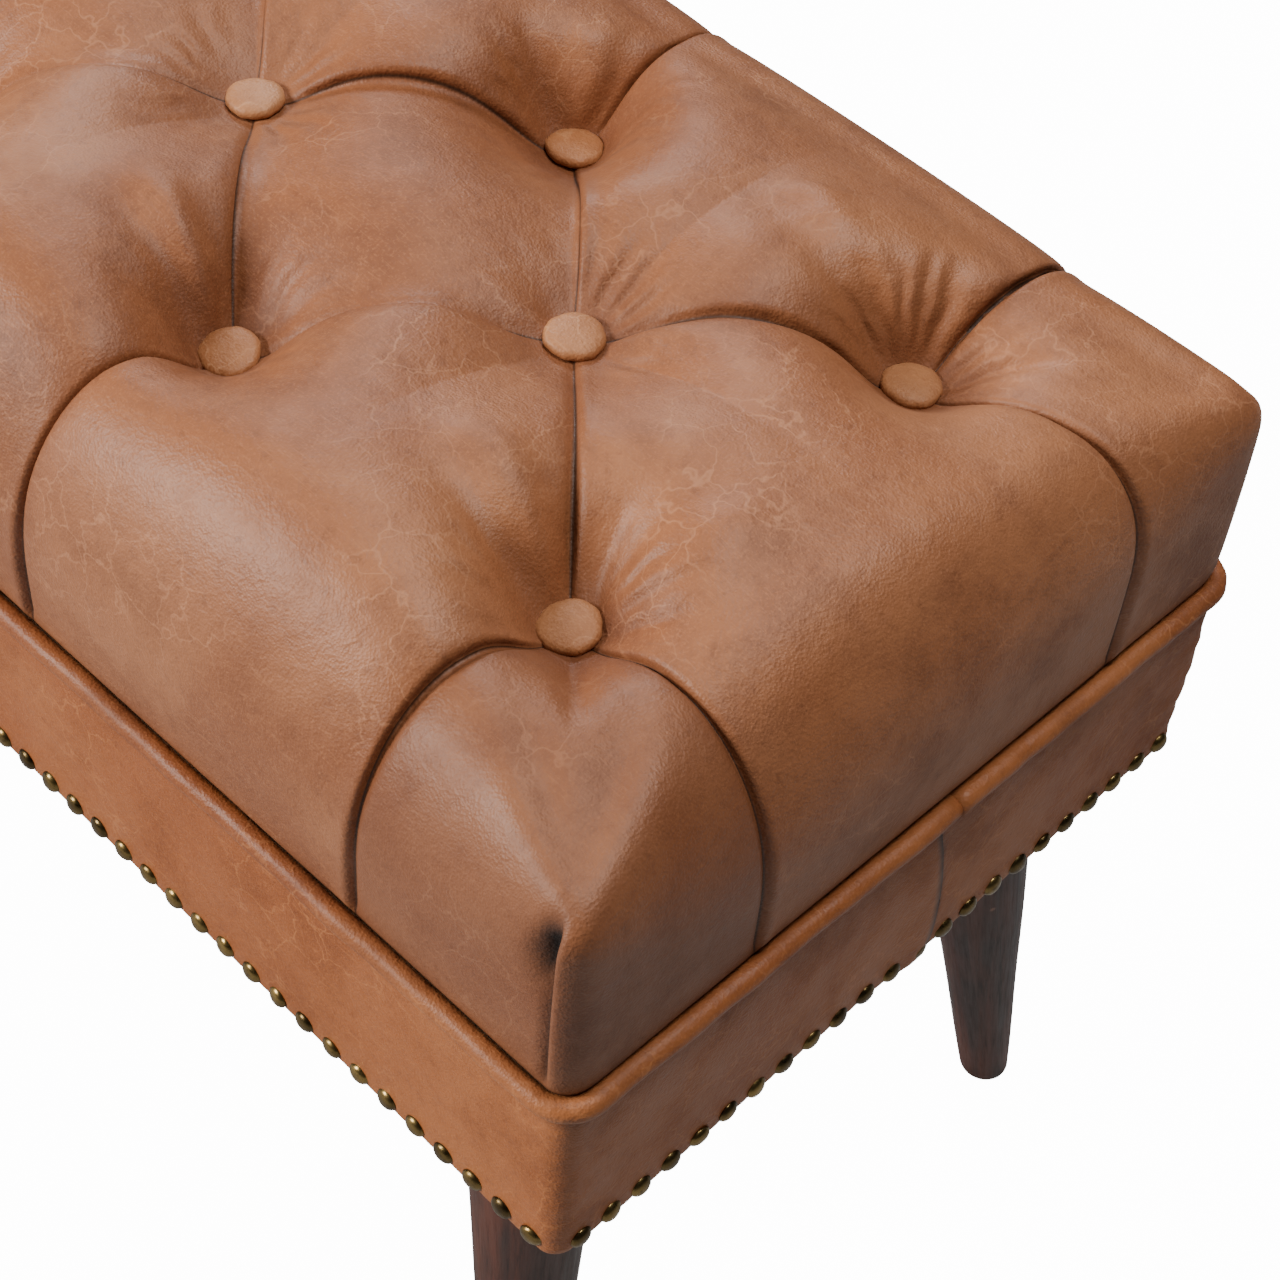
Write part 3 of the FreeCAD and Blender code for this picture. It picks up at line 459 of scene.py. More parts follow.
# Radial folds at the buttons: button's column and row, plan angle, length,
# height, width.
FOLDS = [
    (2.5, -1, 85, 0.060, 0.0053, 0.008), (2.5, -1, 66, 0.075, 0.0062, 0.009),
    (2.5, -1, 47, 0.055, 0.0038, 0.008), (2.5, -1, 166, 0.080, 0.0048, 0.012),
    (2.5, 1, 170, 0.095, 0.0077, 0.008), (2.5, 1, 150, 0.060, 0.0053, 0.007),
    (2.5, 1, 134, 0.050, 0.0034, 0.007), (1.5, 1, 142, 0.055, 0.0067, 0.007),
    (1.5, 1, 122, 0.050, 0.0062, 0.007), (1.5, 1, 160, 0.045, 0.0036, 0.007),
    (1.5, -1, 168, 0.075, 0.0072, 0.008), (1.5, -1, 190, 0.050, 0.0034, 0.009),
    (2.0, 0, 30, 0.050, 0.0029, 0.008), (2.0, 0, 200, 0.045, 0.0029, 0.008),
]


def fold_height(points):
    rise = np.zeros(len(points))
    for column_place, row, angle, length, height, width in FOLDS:
        at = np.array([column_place * PITCH, row * ROW])
        offset = points[:, :2] - at
        out = np.linalg.norm(offset, axis=1)
        turn = math.radians(angle)
        along = offset @ np.array([math.cos(turn), math.sin(turn)])
        across = offset @ np.array([-math.sin(turn), math.cos(turn)])
        spread = width * (0.35 + 0.65 * np.clip(out / length, 0, 1))
        ends = smooth_step(along, 0.008, 0.02) * (1 - smooth_step(along, 0.55 * length, length))
        ridge = np.exp(-(across / spread) ** 2)
        valley = np.exp(-((across - 1.7 * spread) / spread) ** 2)
        rise += height * ends * (ridge - 0.8 * valley) * (points[:, 2] > 0.07)
    return rise


# Each seam is a pleat: one side folds over, and the other goes under it.
LIP_HEIGHT, LIP_PLACE, LIP_WIDTH = 0.001275, 0.0036, 0.0026
CREASE_DEPTH, CREASE_WIDTH = 0.00136, 0.0016
UNDER_DEPTH, UNDER_WIDTH = 0.00187, 0.0024
SEAM_DEPTH = 0.00221
crease = CREASE_DEPTH * np.exp(-(gap / CREASE_WIDTH) ** 2)
under = UNDER_DEPTH * np.exp(-(gap / UNDER_WIDTH) ** 2)
roll = LIP_HEIGHT * np.exp(-((gap - LIP_PLACE) / LIP_WIDTH) ** 2)
height = np.where(lip > 0, roll - crease, -under)
height = np.where(gap < 1e-6, -SEAM_DEPTH, height)
# The pleats are shallower at the buttons, and end at the lower seam.
height *= 0.35 + 0.65 * smooth_step(button_gap, 0.010, 0.022)
height *= smooth_step(points[:, 2], 0.0005, 0.006)
points += normals * (height + fold_height(points))[:, None]
points[:, 2] = np.maximum(points[:, 2], 0)

# Corner pleats: the end's leather is folded over the long side's, and stands
# open in a small pocket under the tip.
FOLD_PLACE = HALF_LENGTH - CORNER_RADIUS
across = np.abs(points[:, 0]) - FOLD_PLACE
on_long_side = smooth_step(np.abs(points[:, 1]), HALF_WIDTH - 0.030, HALF_WIDTH - 0.012)
rise = points[:, 2]
up_fold = smooth_step(rise, 0.001, 0.008) * (1 - smooth_step(rise, 0.080, 0.092))
FOLD_DEPTH = 0.0032
FOLD_LIP = 0.0014
POCKET_DEPTH = 0.0085
POCKET_RISE = 0.071
fold_crease = np.exp(-((across + 0.0010) / 0.0014) ** 2)
fold_lip = np.exp(-((across - 0.0032) / 0.0030) ** 2) * (across > -0.0005)
pocket_shape = (np.exp(-((across + 0.0038) / 0.0036) ** 2)
                * np.exp(-((rise - POCKET_RISE) / 0.0115) ** 2) * (across < 0.0004))
inward = (FOLD_DEPTH * fold_crease - FOLD_LIP * fold_lip) * up_fold + POCKET_DEPTH * pocket_shape
points[:, 1] -= np.sign(points[:, 1]) * inward * on_long_side
# Painted shade in the pocket under each tip, and a dark painted line along the fold.
fold_shade_line = np.exp(-((across + 0.0008) / 0.0009) ** 2)
pocket = np.clip(1.35 * pocket_shape + 0.95 * fold_shade_line * up_fold, 0, 1) * on_long_side
# The lower seam gets painted shade too.
pocket = np.maximum(pocket, 0.85 * np.exp(-rise / 0.0011))
points[:, 2] += SEAM

# The panels' meeting points lie hidden under the buttons, and are left open there
# until the surface is smoothed.
hidden = set(np.nonzero(button_gap < 0.0005)[0])
faces = [face for face in skin.faces if not hidden.intersection(face)]
cover = made("seat_leather", points, faces)
for name, values in (("seam_gap", gap), ("seam_run", seam_run), ("button_gap", button_gap),
                     ("pocket", pocket), ("tone", tone),
                     ("from_button", np.column_stack([from_button, 0 * gap]))):
    write_attribute(cover.data, name, values)
subdivided(cover)
closed = bmesh.new()
closed.from_mesh(cover.data)
loose = [v for v in closed.verts if not v.link_faces]
bmesh.ops.delete(closed, geom=loose, context="VERTS")
bmesh.ops.holes_fill(closed, edges=[e for e in closed.edges if e.is_boundary], sides=0)
closed.to_mesh(cover.data)
closed.free()
cover.data.shade_smooth()

# Materials


class Nodes:
    """A short way to write a material's node tree."""

    def __init__(self, name):
        self.material = bpy.data.materials.new(name)
        self.material.use_nodes = True
        self.tree = self.material.node_tree
        self.shader = self.tree.nodes["Principled BSDF"]
        self.place = self.tree.nodes.new("ShaderNodeTexCoord").outputs["Object"]

    def add(self, kind, values=None, **links):
        node = self.tree.nodes.new(kind)
        for key, value in (values or {}).items():
            if isinstance(key, str) and hasattr(node, key):
                setattr(node, key, value)
            else:
                node.inputs[key].default_value = value
        for key, link in links.items():
            self.link(link, node.inputs[key])
        return node

    def link(self, source, target):
        self.tree.links.new(source, target)

    def give(self, socket, value):
        """Sets a socket to a number or a colour, or links another node's output to it."""
        if isinstance(value, (int, float)):
            socket.default_value = value
        elif isinstance(value, tuple):
            socket.default_value = (*value, 1)
        else:
            self.link(value, socket)

    def noise(self, scale, detail=4.0, rough=0.55, distortion=0.0, place=None):
        values = {"Scale": scale, "Detail": detail, "Roughness": rough,
                  "Distortion": distortion}
        return self.add("ShaderNodeTexNoise", values, Vector=place or self.place).outputs["Fac"]

    def stretched(self, scale, turn):
        values = {"Scale": scale, "Rotation": turn}
        return self.add("ShaderNodeMapping", values, Vector=self.place).outputs["Vector"]

    def range(self, value, start, end, low=0.0, high=1.0, smooth=True):
        values = {"interpolation_type": "SMOOTHSTEP" if smooth else "LINEAR",
                  "From Min": start, "From Max": end, "To Min": low, "To Max": high}
        return self.add("ShaderNodeMapRange", values, Value=value).outputs["Result"]

    def math(self, operation, *values):
        node = self.add("ShaderNodeMath", {"operation": operation})
        for socket, value in zip(node.inputs, values):
            self.give(socket, value)
        return node.outputs["Value"]

    def times(self, a, b):
        return self.math("MULTIPLY", a, b)

    def mix(self, factor, first, second):
        node = self.add("ShaderNodeMix", {"data_type": "RGBA"})
        self.give(node.inputs["Factor"], factor)
        self.give(node.inputs[6], first)
        self.give(node.inputs[7], second)
        return node.outputs[2]

    def attribute(self, name, output="Fac"):
        return self.add("ShaderNodeAttribute", {"attribute_name": name}).outputs[output]

    def surface(self, colour, rough, normal, **numbers):
        values = {"Base Color": colour, "Roughness": rough, "Normal": normal, **numbers}
        for name, value in values.items():
            self.give(self.shader.inputs[name.replace("_", " ")], value)
        return self.material

    def bump(self, height, strength, distance, under=None):
        node = self.add("ShaderNodeBump", {"Strength": strength, "Distance": distance},
                        Height=height)
        if under:
            self.link(under, node.inputs["Normal"])
        return node.outputs["Normal"]


def scaled(colour, red, green=None, blue=None):
    """A colour times one number, or times three."""
    return tuple(np.multiply(colour, red if green is None else (red, green, blue)))


VEIN_WANDER = (0.026, 0.026, 0.026)
STITCH_LENGTH = 0.0027
STITCH_PLACE = 0.0018
WRINKLES_ROUND = 17.0
# Colours of painted shade: in the seams' creases, and in the pockets, laps and lower seams.
CREASE_SHADE_COLOUR = (0.018, 0.008, 0.004)
PAINTED_SHADE_COLOUR = (0.012, 0.006, 0.004)


def leather(name, deep, middle, pale, sewn=False, shine=0.0):
    """deep, middle and pale are its colours; sewn adds painted shade in the seams' creases, along the
    seams and round the buttons, and stitches and wrinkles.
    """
    n = Nodes(name)
    clouds = n.noise(7.0, 3.0, 0.6, 0.4)
    patches = n.noise(24.0, 4.0, 0.66, 0.15)
    flecks = n.noise(190.0, 4.0, 0.7)
    frost = n.noise(950.0, 2.0, 0.6)
    colour = n.mix(n.range(clouds, 0.36, 0.66), middle, pale)
    colour = n.mix(n.range(patches, 0.44, 0.72, 0.0, 0.42), colour, deep)
    colour = n.mix(n.range(flecks, 0.50, 0.75, 0.0, 0.34), colour, deep)
    colour = n.mix(n.range(flecks, 0.28, 0.46, 0.30, 0.0), colour, pale)
    colour = n.mix(n.range(frost, 0.50, 0.72, 0.0, 0.50), colour, scaled(pale, 1.1))
    # Fine, hair-like rubs in two directions.
    for turn, density in ((0.5, 1.0), (1.9, 1.25)):
        rubs = n.noise(1.0, 2.0, 0.6, 0.6,
                       n.stretched((70 * density, 1300, 500), (0.3, 0.4, turn)))
        rubs = n.range(rubs, 0.60, 0.74, 0.0, 0.34)
        colour = n.mix(rubs, colour, scaled(pale, 1.25, 1.3, 1.35))
    # Creased veins, in clusters.
    bent = n.add("ShaderNodeTexNoise", {"Scale": 40.0, "Detail": 3.0, "Roughness": 0.65},
                 Vector=n.place)
    shifted = n.add("ShaderNodeVectorMath", {"operation": "MULTIPLY_ADD", 1: VEIN_WANDER})
    n.link(bent.outputs["Color"], shifted.inputs[0])
    n.link(n.place, shifted.inputs[2])
    veins = n.add("ShaderNodeTexVoronoi", {"feature": "DISTANCE_TO_EDGE", "Scale": 48.0},
                  Vector=shifted.outputs["Vector"])
    veins = n.range(veins.outputs["Distance"], 0.0, 0.030, 1.0, 0.0)
    clusters = n.range(n.noise(13.0, 2.0, 0.65), 0.44, 0.60)
    veins = n.times(veins, clusters)
    colour = n.mix(n.times(veins, 0.44), colour, scaled(pale, 1.4, 1.6, 1.9))
    rough = n.range(patches, 0.35, 0.7, 0.48, 0.62)
    if sewn:
        gap = n.attribute("seam_gap")
        button = n.attribute("button_gap")
        # Painted shade: a dark line in each seam's crease, and darker hollows along the seams and
        # round the buttons.
        crease = n.range(gap, 0.0, 0.0008, 1.0, 0.0)
        seam_hollow_shade = n.times(n.range(gap, 0.0, 0.014, 0.32, 0.0),
                         n.range(button, 0.03, 0.09, 1.0, 0.6))
        button_well_shade = n.range(button, 0.010, 0.034, 0.40, 0.0)
        shade = n.times(n.math("MAXIMUM", seam_hollow_shade, button_well_shade), 0.85)
        colour = n.mix(shade, colour, deep)
        colour = n.mix(n.attribute("tone"), colour, deep)
        colour = n.mix(n.times(crease, 0.82), colour, CREASE_SHADE_COLOUR)
    # Painted shade written on the mesh: corner pockets, fold lines, the lower seam and the band's
    # laps and top.
    colour = n.mix(n.attribute("pocket"), colour, PAINTED_SHADE_COLOUR)
    grain = n.add("ShaderNodeTexVoronoi", {"feature": "F1", "Scale": 900.0}, Vector=n.place)
    normal = n.bump(grain.outputs["Distance"], 0.26, 0.0006)
    normal = n.bump(n.noise(320.0, 3.0, 0.70), 0.36, 0.0010, normal)
    normal = n.bump(n.noise(60.0, 2.0, 0.55), 0.22, 0.003, normal)
    if sewn:
        run = n.attribute("seam_run")
        wave = n.math("SINE", n.times(run, 2 * math.pi / STITCH_LENGTH))
        off_line = n.math("ABSOLUTE", n.math("SUBTRACT", gap, STITCH_PLACE))
        along = n.times(n.range(wave, -0.4, 0.6), n.range(off_line, 0.0, 0.0011, 1.0, 0.0))
        normal = n.bump(along, -0.45, 0.0012, normal)
        # Small wrinkles that run out from the buttons, in some places.
        offset = n.add("ShaderNodeSeparateXYZ", Vector=n.attribute("from_button", "Vector"))
        turn = n.math("ARCTAN2", offset.outputs["Y"], offset.outputs["X"])
        turn = n.math("ADD", n.times(turn, WRINKLES_ROUND), n.times(n.noise(26.0, 2.0), 9.0))
        wrinkles = n.times(n.math("SINE", turn), n.range(n.noise(11.0, 1.0), 0.42, 0.58))
        wrinkles = n.times(wrinkles, n.range(button, 0.012, 0.022))
        wrinkles = n.times(wrinkles, n.range(button, 0.026, 0.050, 1.0, 0.0))
        normal = n.bump(wrinkles, 0.60, 0.0011, normal)
    return n.surface(colour, rough, normal, Specular_IOR_Level=0.32, Coat_Weight=0.02 + shine,
                     Coat_Roughness=0.40)


def stained_wood(name, dark, warm, coat):
    n = Nodes(name)
    n.place = n.attribute("own_place", "Vector")
    long_grain = n.noise(1.0, 5.0, 0.6, 0.5, n.stretched((110, 110, 5), (0, 0, 0)))
    fine_grain = n.noise(1.0, 4.0, 0.7, 0.2, n.stretched((620, 620, 14), (0, 0, 0)))
    clouds = n.noise(14.0, 3.0, 0.6)
    colour = n.mix(n.range(long_grain, 0.35, 0.68), dark, warm)
    colour = n.mix(n.range(fine_grain, 0.52, 0.72, 0.0, 0.7), colour, scaled(dark, 0.45))
    colour = n.mix(n.range(clouds, 0.4, 0.7, 0.0, 0.5), colour, scaled(warm, 1.3, 1.2, 1.1))
    knots = n.noise(55.0, 2.0, 0.5)
    colour = n.mix(n.range(knots, 0.72, 0.78), colour, (0.25, 0.11, 0.06))
    normal = n.bump(knots, 0.2, 0.001, n.bump(fine_grain, 0.25, 0.0006))
    return n.surface(colour, n.range(fine_grain, 0.3, 0.7, 0.42, 0.56), normal,
                     Coat_Weight=coat, Coat_Roughness=0.25)


def bare_wood(name, pale, dark, layers=0.0):
    n = Nodes(name)
    grain = n.noise(1.0, 5.0, 0.6, 0.8, n.stretched((6, 90, 90), (0, 0, 0)))
    colour = n.mix(n.range(grain, 0.35, 0.7), pale, dark)
    if layers:
        height = n.add("ShaderNodeSeparateXYZ", Vector=n.place)
        plies = n.math("SINE", n.times(height.outputs["Z"], 2 * math.pi / layers))
        colour = n.mix(n.range(plies, 0.2, 0.5, 0.0, 0.4), colour, dark)
    return n.surface(colour, 0.65, n.bump(grain, 0.2, 0.001))


def metal(name, colour, tarnish, rough):
    n = Nodes(name)
    spots = n.noise(420.0, 4.0, 0.65)
    patches = n.noise(60.0, 3.0, 0.5)
    mixed = n.mix(n.range(patches, 0.25, 0.75), colour, tarnish)
    mixed = n.mix(n.range(spots, 0.52, 0.72, 0.0, 0.6), mixed, tarnish)
    return n.surface(mixed, n.range(spots, 0.3, 0.7, rough - 0.06, rough + 0.12),
                     n.bump(spots, 0.12, 0.0004), Metallic=1.0)


def woven(name, colour, scale, rough=0.9):
    n = Nodes(name)
    fibres = n.noise(scale, 5.0, 0.7, 0.5)
    colour = n.mix(n.range(fibres, 0.35, 0.7), colour, scaled(colour, 0.55))
    return n.surface(colour, rough, n.bump(fibres, 0.4, 0.001))


SEAT_LEATHER = leather("seat_leather", (0.102, 0.031, 0.012), (0.226, 0.077, 0.029),
                       (0.318, 0.125, 0.053), sewn=True, shine=0.04)
BAND_LEATHER = leather("band_leather", (0.130, 0.033, 0.008), (0.275, 0.078, 0.018),
                       (0.345, 0.115, 0.034))
PIPING_LEATHER = leather("piping_leather", (0.115, 0.030, 0.008), (0.230, 0.066, 0.018),
                         (0.330, 0.115, 0.038), shine=0.06)
LEG_WOOD = stained_wood("leg_wood", (0.024, 0.006, 0.003), (0.080, 0.018, 0.007), 0.04)
FRAME_WOOD = bare_wood("frame_wood", (0.62, 0.45, 0.27), (0.46, 0.30, 0.16))
PLYWOOD = bare_wood("plywood", (0.66, 0.50, 0.31), (0.48, 0.33, 0.19), layers=0.003)
BRASS = metal("aged_brass", (0.26, 0.18, 0.065), (0.045, 0.031, 0.016), 0.30)
STEEL = metal("zinc_steel", (0.60, 0.60, 0.58), (0.32, 0.32, 0.31), 0.34)
WADDING = woven("wadding", (0.86, 0.85, 0.82), 260.0)
FOAM = woven("foam", (0.85, 0.79, 0.60), 700.0)
BLACK_CLOTH = woven("black_cloth", (0.020, 0.020, 0.022), 900.0, 0.8)
TWINE = woven("twine", (0.60, 0.54, 0.42), 1200.0)
BUTTON_LEATHER = leather("button_leather", (0.190, 0.060, 0.018), (0.330, 0.128, 0.048),
                         (0.390, 0.175, 0.075))

cover.data.materials.append(SEAT_LEATHER)

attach(cover, "root")
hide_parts("seat_cover", "seat_wadding", "seat_foam")


def finished(item, slot, material, *nodes):
    """Gives a new piece its material and its body, and hides the nodes that it stands for."""
    item.data.materials.append(material)
    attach(item, "root")
    if nodes:
        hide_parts(*nodes)
    return item


def ring_faces(rings, turns):
    """Faces of a closed form: a first point, rings of points, a last point."""
    faces = []
    last_ring = 1 + (rings - 1) * turns
    for k in range(turns):
        following = (k + 1) % turns
        faces.append((0, 1 + following, 1 + k))
        for a in range(1, last_ring, turns):
            faces.append((a + k, a + following, a + turns + following, a + turns + k))
        faces.append((last_ring + k, last_ring + following, last_ring + turns))
    return faces


def turned(profile, turns):
    """Points and faces of a profile of (radius, height) revolved about Z; its
    first and last points are on the axis."""
    points = [(0, 0, profile[0][1])]
    for radius, height in profile[1:-1]:
        for k in range(turns):
            a = 2 * math.pi * k / turns
            points.append((radius * math.cos(a), radius * math.sin(a), height))
    points.append((0, 0, profile[-1][1]))
    return np.array(points), ring_faces(len(profile) - 2, turns)


def gathered(name, copies):
    """One mesh from many copies of (points, faces)."""
    points = []
    faces = []
    start = 0
    for some_points, some_faces in copies:
        points.append(some_points)
        faces += [tuple(v + start for v in face) for face in some_faces]
        start += len(some_points)
    return made(name, np.concatenate(points), faces)


# Covered buttons

rng = np.random.default_rng(17)
BUTTON_PROFILE = [(0, -0.0004), (0.72, -0.0004), (0.90, 0.0001), (0.985, 0.0012),
                  (1.0, 0.0022), (0.985, 0.0033), (0.93, 0.0042), (0.82, 0.0048),
                  (0.60, 0.0052), (0.30, 0.0055), (0, 0.0056)]
OUTER_TILT = math.radians(8)


def button(place, tilt):
    profile = [(r * BUTTON_RADIUS, z * BUTTON_HEIGHT / 0.0056) for r, z in BUTTON_PROFILE]
    points, faces = turned(profile, 48)
    angle = np.arctan2(points[:, 1], points[:, 0])
    rim = smooth_step(np.linalg.norm(points[:, :2], axis=1), 0.6 * BUTTON_RADIUS,
                      0.98 * BUTTON_RADIUS)
    phase = rng.uniform(0, 6.28, 3)
    wobble = (0.00022 * np.sin(3 * angle + phase[0]) + 0.00016 * np.sin(7 * angle + phase[1])
              + 0.00010 * np.sin(13 * angle + phase[2]))
    points[:, :2] *= (1 + wobble * rim / BUTTON_RADIUS)[:, None]
    turn = Matrix.Rotation(tilt[0], 3, "X") @ Matrix.Rotation(tilt[1], 3, "Y")
    points = points @ np.array(turn).T + np.array(place)
    return points, faces


for row_name, places, lean in (("front_row", outer_buttons[-1], OUTER_TILT),
                               ("middle_row", middle_buttons, 0.0),
                               ("back_row", outer_buttons[1], -OUTER_TILT)):
    copies = []
    for place in places:
        tilt = (lean + rng.normal(0, 0.03), rng.normal(0, 0.03))
        copies.append(button(np.array([place[0], place[1], place[2] + SEAM]), tilt))
    item = gathered("button_caps_" + row_name, copies)
    finished(item, "leather", BUTTON_LEATHER, "seat_buttons_" + row_name)

# Piping and band: strips that follow the bench's plan

JOINT_Y = high("front_welt")[1]


def plan_line(inset, radius, spacing, end_y):
    """Places and outward directions from the joint on the left end, along the front,
    to a place on the right end."""
    x = HALF_LENGTH - inset
    y = HALF_WIDTH - inset
    places = []
    outward = []

    def run(a, b, out):
        count = max(2, int(round(np.linalg.norm(np.subtract(b, a)) / spacing)))
        for k in range(count):
            places.append(np.array(a) + (np.array(b) - np.array(a)) * k / count)
            outward.append(np.array(out, float))

    def turn(centre, first, last):
        count = 10
        for k in range(count):
            a = first + (last - first) * k / count
            out = np.array([math.cos(a), math.sin(a)])
            places.append(np.array(centre) + radius * out)
            outward.append(out)

    run((-x, JOINT_Y), (-x, -y + radius), (-1, 0))
    turn((-x + radius, -y + radius), math.pi, 1.5 * math.pi)
    run((-x + radius, -y), (x - radius, -y), (0, -1))
    turn((x - radius, -y + radius), 1.5 * math.pi, 2 * math.pi)
    run((x, -y + radius), (x, end_y), (1, 0))
    places.append(np.array((x, end_y)))
    outward.append(np.array((1.0, 0.0)))
    return np.array(places), np.array(outward)


def swept(places, outward, levels, outs):
    """A mesh from a profile given along a line: levels and outward reaches, one
    row for each place."""
    rings, around = levels.shape
    points = np.zeros((rings, around, 3))
    points[:, :, :2] = places[:, None, :] + outward[:, None, :] * outs[:, :, None]
    points[:, :, 2] = levels
    faces = []
    for i in range(rings - 1):
        for j in range(around):
            following = (j + 1) % around
            faces.append((i * around + j, (i + 1) * around + j,
                          (i + 1) * around + following, i * around + following))
    faces.append(tuple(range(around)))
    faces.append(tuple(reversed(range((rings - 1) * around, rings * around))))
    return points.reshape(-1, 3), faces


LAP = 0.010
WELT_RADIUS = high("front_welt")[2] - WELT_LEVEL
WELT_INSET = -(WELT_REACH - WELT_RADIUS)
WELT_CORNER = 0.0138
BAND_CORNER = 0.0095


def length_along(places):
    steps = np.linalg.norm(np.diff(places, axis=0), axis=1)
    return np.concatenate([[0], np.cumsum(steps)])


def welt(side):
    """The piping of one strip. The back strip is the front one, turned round."""
    places, outward = plan_line(WELT_INSET, WELT_CORNER, 0.006, JOINT_Y)
    along = length_along(places)
    angle = np.linspace(0, 2 * math.pi, 20, endpoint=False)[None, :]
    wave = (0.00030 * np.sin(along * 70 + side) + 0.00025 * np.sin(along * 163 + 2)
            + 0.00018 * np.sin(along * 29))[:, None]
    radius = WELT_RADIUS * (0.97 + 0.02 * np.sin(along * 41)[:, None])
    radius += 0.00010 * np.sin(along * 900 + 3 * np.sin(along * 60))[:, None]
    outs = radius * np.cos(angle) + wave
    levels = WELT_LEVEL + radius * np.sin(angle) * 0.98 + 0.6 * wave
    return places, outward, levels, outs


def whole_turn(points):
    """The same shape on the bench's other side."""
    return points * np.array([-1, -1, 1])


for side in (-1, 1):
    places, outward, levels, outs = welt(side)
    points, faces = swept(places, outward, levels, outs)
    if side > 0:
        points = whole_turn(points)
        # Both strips meet at the same joint on each end.
        points[:, 1] += 2 * JOINT_Y * (1 - smooth_step(points[:, 1], -JOINT_Y, 0.08))
    name = "piping_front" if side < 0 else "piping_back"
    item = made(name, points, faces)
    finished(item, "piping", PIPING_LEATHER, "front_welt" if side < 0 else "back_welt")

# Dome nails

NAIL_PITCH = 0.0147


def nail_places(node, axis):
    first = low(node)[axis] + NAIL_RADIUS
    last = high(node)[axis] - NAIL_RADIUS
    count = int(round((last - first) / NAIL_PITCH)) + 1
    return np.linspace(first, last, count)


long_nails = nail_places("nails_front", 0)
end_nails = nail_places("nails_right_end", 1)
NAIL_PROFILE = [(0, -0.0004), (0.80, -0.0004), (0.97, -0.0002), (1.0, 0.0002), (0.975, 0.0006),
                (0.90, 0.00125), (0.76, 0.00185), (0.56, 0.00232), (0.30, 0.0026),
                (0, 0.0027)]


def dome(place, outwards):
    size = NAIL_RADIUS * rng.uniform(0.97, 1.0)
    points, faces = turned([(r * size, z) for r, z in NAIL_PROFILE], 20)
    tilt = Matrix.Rotation(rng.normal(0, 0.05), 3, "X") @ Matrix.Rotation(rng.normal(0, 0.05), 3, "Y")
    turn = Vector((0, 0, 1)).rotation_difference(Vector(outwards)).to_matrix() @ tilt
    drop = np.array([0, 0, rng.normal(0, 0.0002)])
    return points @ np.array(turn).T + np.array(place) + drop, faces


for node, out in (("nails_front", (0, -1, 0)), ("nails_back", (0, 1, 0)),
                  ("nails_left_end", (-1, 0, 0)), ("nails_right_end", (1, 0, 0))):
    if out[0] == 0:
        spots = [(x, out[1] * HALF_WIDTH, NAIL_LEVEL) for x in long_nails]
    else:
        spots = [(out[0] * HALF_LENGTH, y, NAIL_LEVEL) for y in end_nails]
    item = gathered("dome_" + node, [dome(spot, out) for spot in spots])
    finished(item, "brass", BRASS, node)

# Leather band

BAND_INNER = -0.0014
TURN_UNDER = 0.018
BAND_HEIGHT = BAND_TOP - BAND_BOTTOM


def band_profile():
    """The strip's closed section as (reach, height over the lower edge)."""
    outer = [(-TURN_UNDER, 0), (-0.012, 0), (-0.007, 0), (-0.0042, 0.0001), (-0.0022, 0.0006),
             (-0.0008, 0.0018), (-0.0001, 0.0036)]
    for share in np.linspace(0.07, 0.96, 16):
        outer.append((0.0009 * math.sin(math.pi * share) ** 0.7, share * BAND_HEIGHT))
    outer += [(-0.0004, BAND_HEIGHT), (-0.0016, BAND_HEIGHT + 0.0016)]
    inner = [(-0.0030, BAND_HEIGHT + 0.0010), (BAND_INNER - 0.0006, BAND_HEIGHT * 0.6),
             (BAND_INNER - 0.0006, 0.0060), (-0.0045, 0.0016), (-TURN_UNDER, 0.0013)]
    return outer + inner, len(outer)


def band(side):
    places, outward = plan_line(0.0, BAND_CORNER, 0.0036, JOINT_Y if side < 0 else JOINT_Y + 0.004)
    along = length_along(places)
    profile, face_count = band_profile()
    outs, rise = (np.tile(side_values, (len(places), 1)) for side_values in zip(*profile))
    levels = BAND_BOTTOM + rise
    on_face = np.zeros_like(outs)
    on_face[:, 5:face_count - 1] = 1
    s = along[:, None]
    soft = (0.00045 * np.sin(s * 23 + 1.3 + rise * 30) + 0.00030 * np.sin(s * 57 + rise * 55)
            + 0.00020 * np.sin(s * 131 - rise * 80))
    soft *= smooth_step(rise, 0.004, 0.03)
    on_x = np.abs(outward[:, 1]) > 0.9
    nail_gap = np.where(on_x, np.min(np.abs(places[:, 0][:, None] - long_nails[None, :]), axis=1),
                        np.min(np.abs(places[:, 1][:, None] - end_nails[None, :]), axis=1))
    reach = np.hypot(nail_gap[:, None], levels - NAIL_LEVEL)
    dimple = -0.0008 * np.exp(-(reach / 0.0052) ** 2)
    between = 0.00035 * np.exp(-((levels - NAIL_LEVEL) / 0.006) ** 2)
    outs = outs + on_face * (soft + dimple + between)
    # Creases where the leather is pulled round the corners.
    from_corner = (np.abs(places) - (HALF_LENGTH, HALF_WIDTH)) / 0.03
    corner = np.exp(-np.sum(from_corner ** 2, axis=1))[:, None]
    pulls = 0.00035 * np.sin(rise * 420 + 2.0 * np.sin(s * 90)) * corner
    return places, outward, levels, outs + on_face * pulls


def lap_place(level):
    """Where the front strip's curved edge lies on each end, by height."""
    share = np.clip((BAND_TOP - level) / BAND_HEIGHT, 0, 1)
    return JOINT_Y - 0.006 + 0.010 * np.sin(share * 2.2)


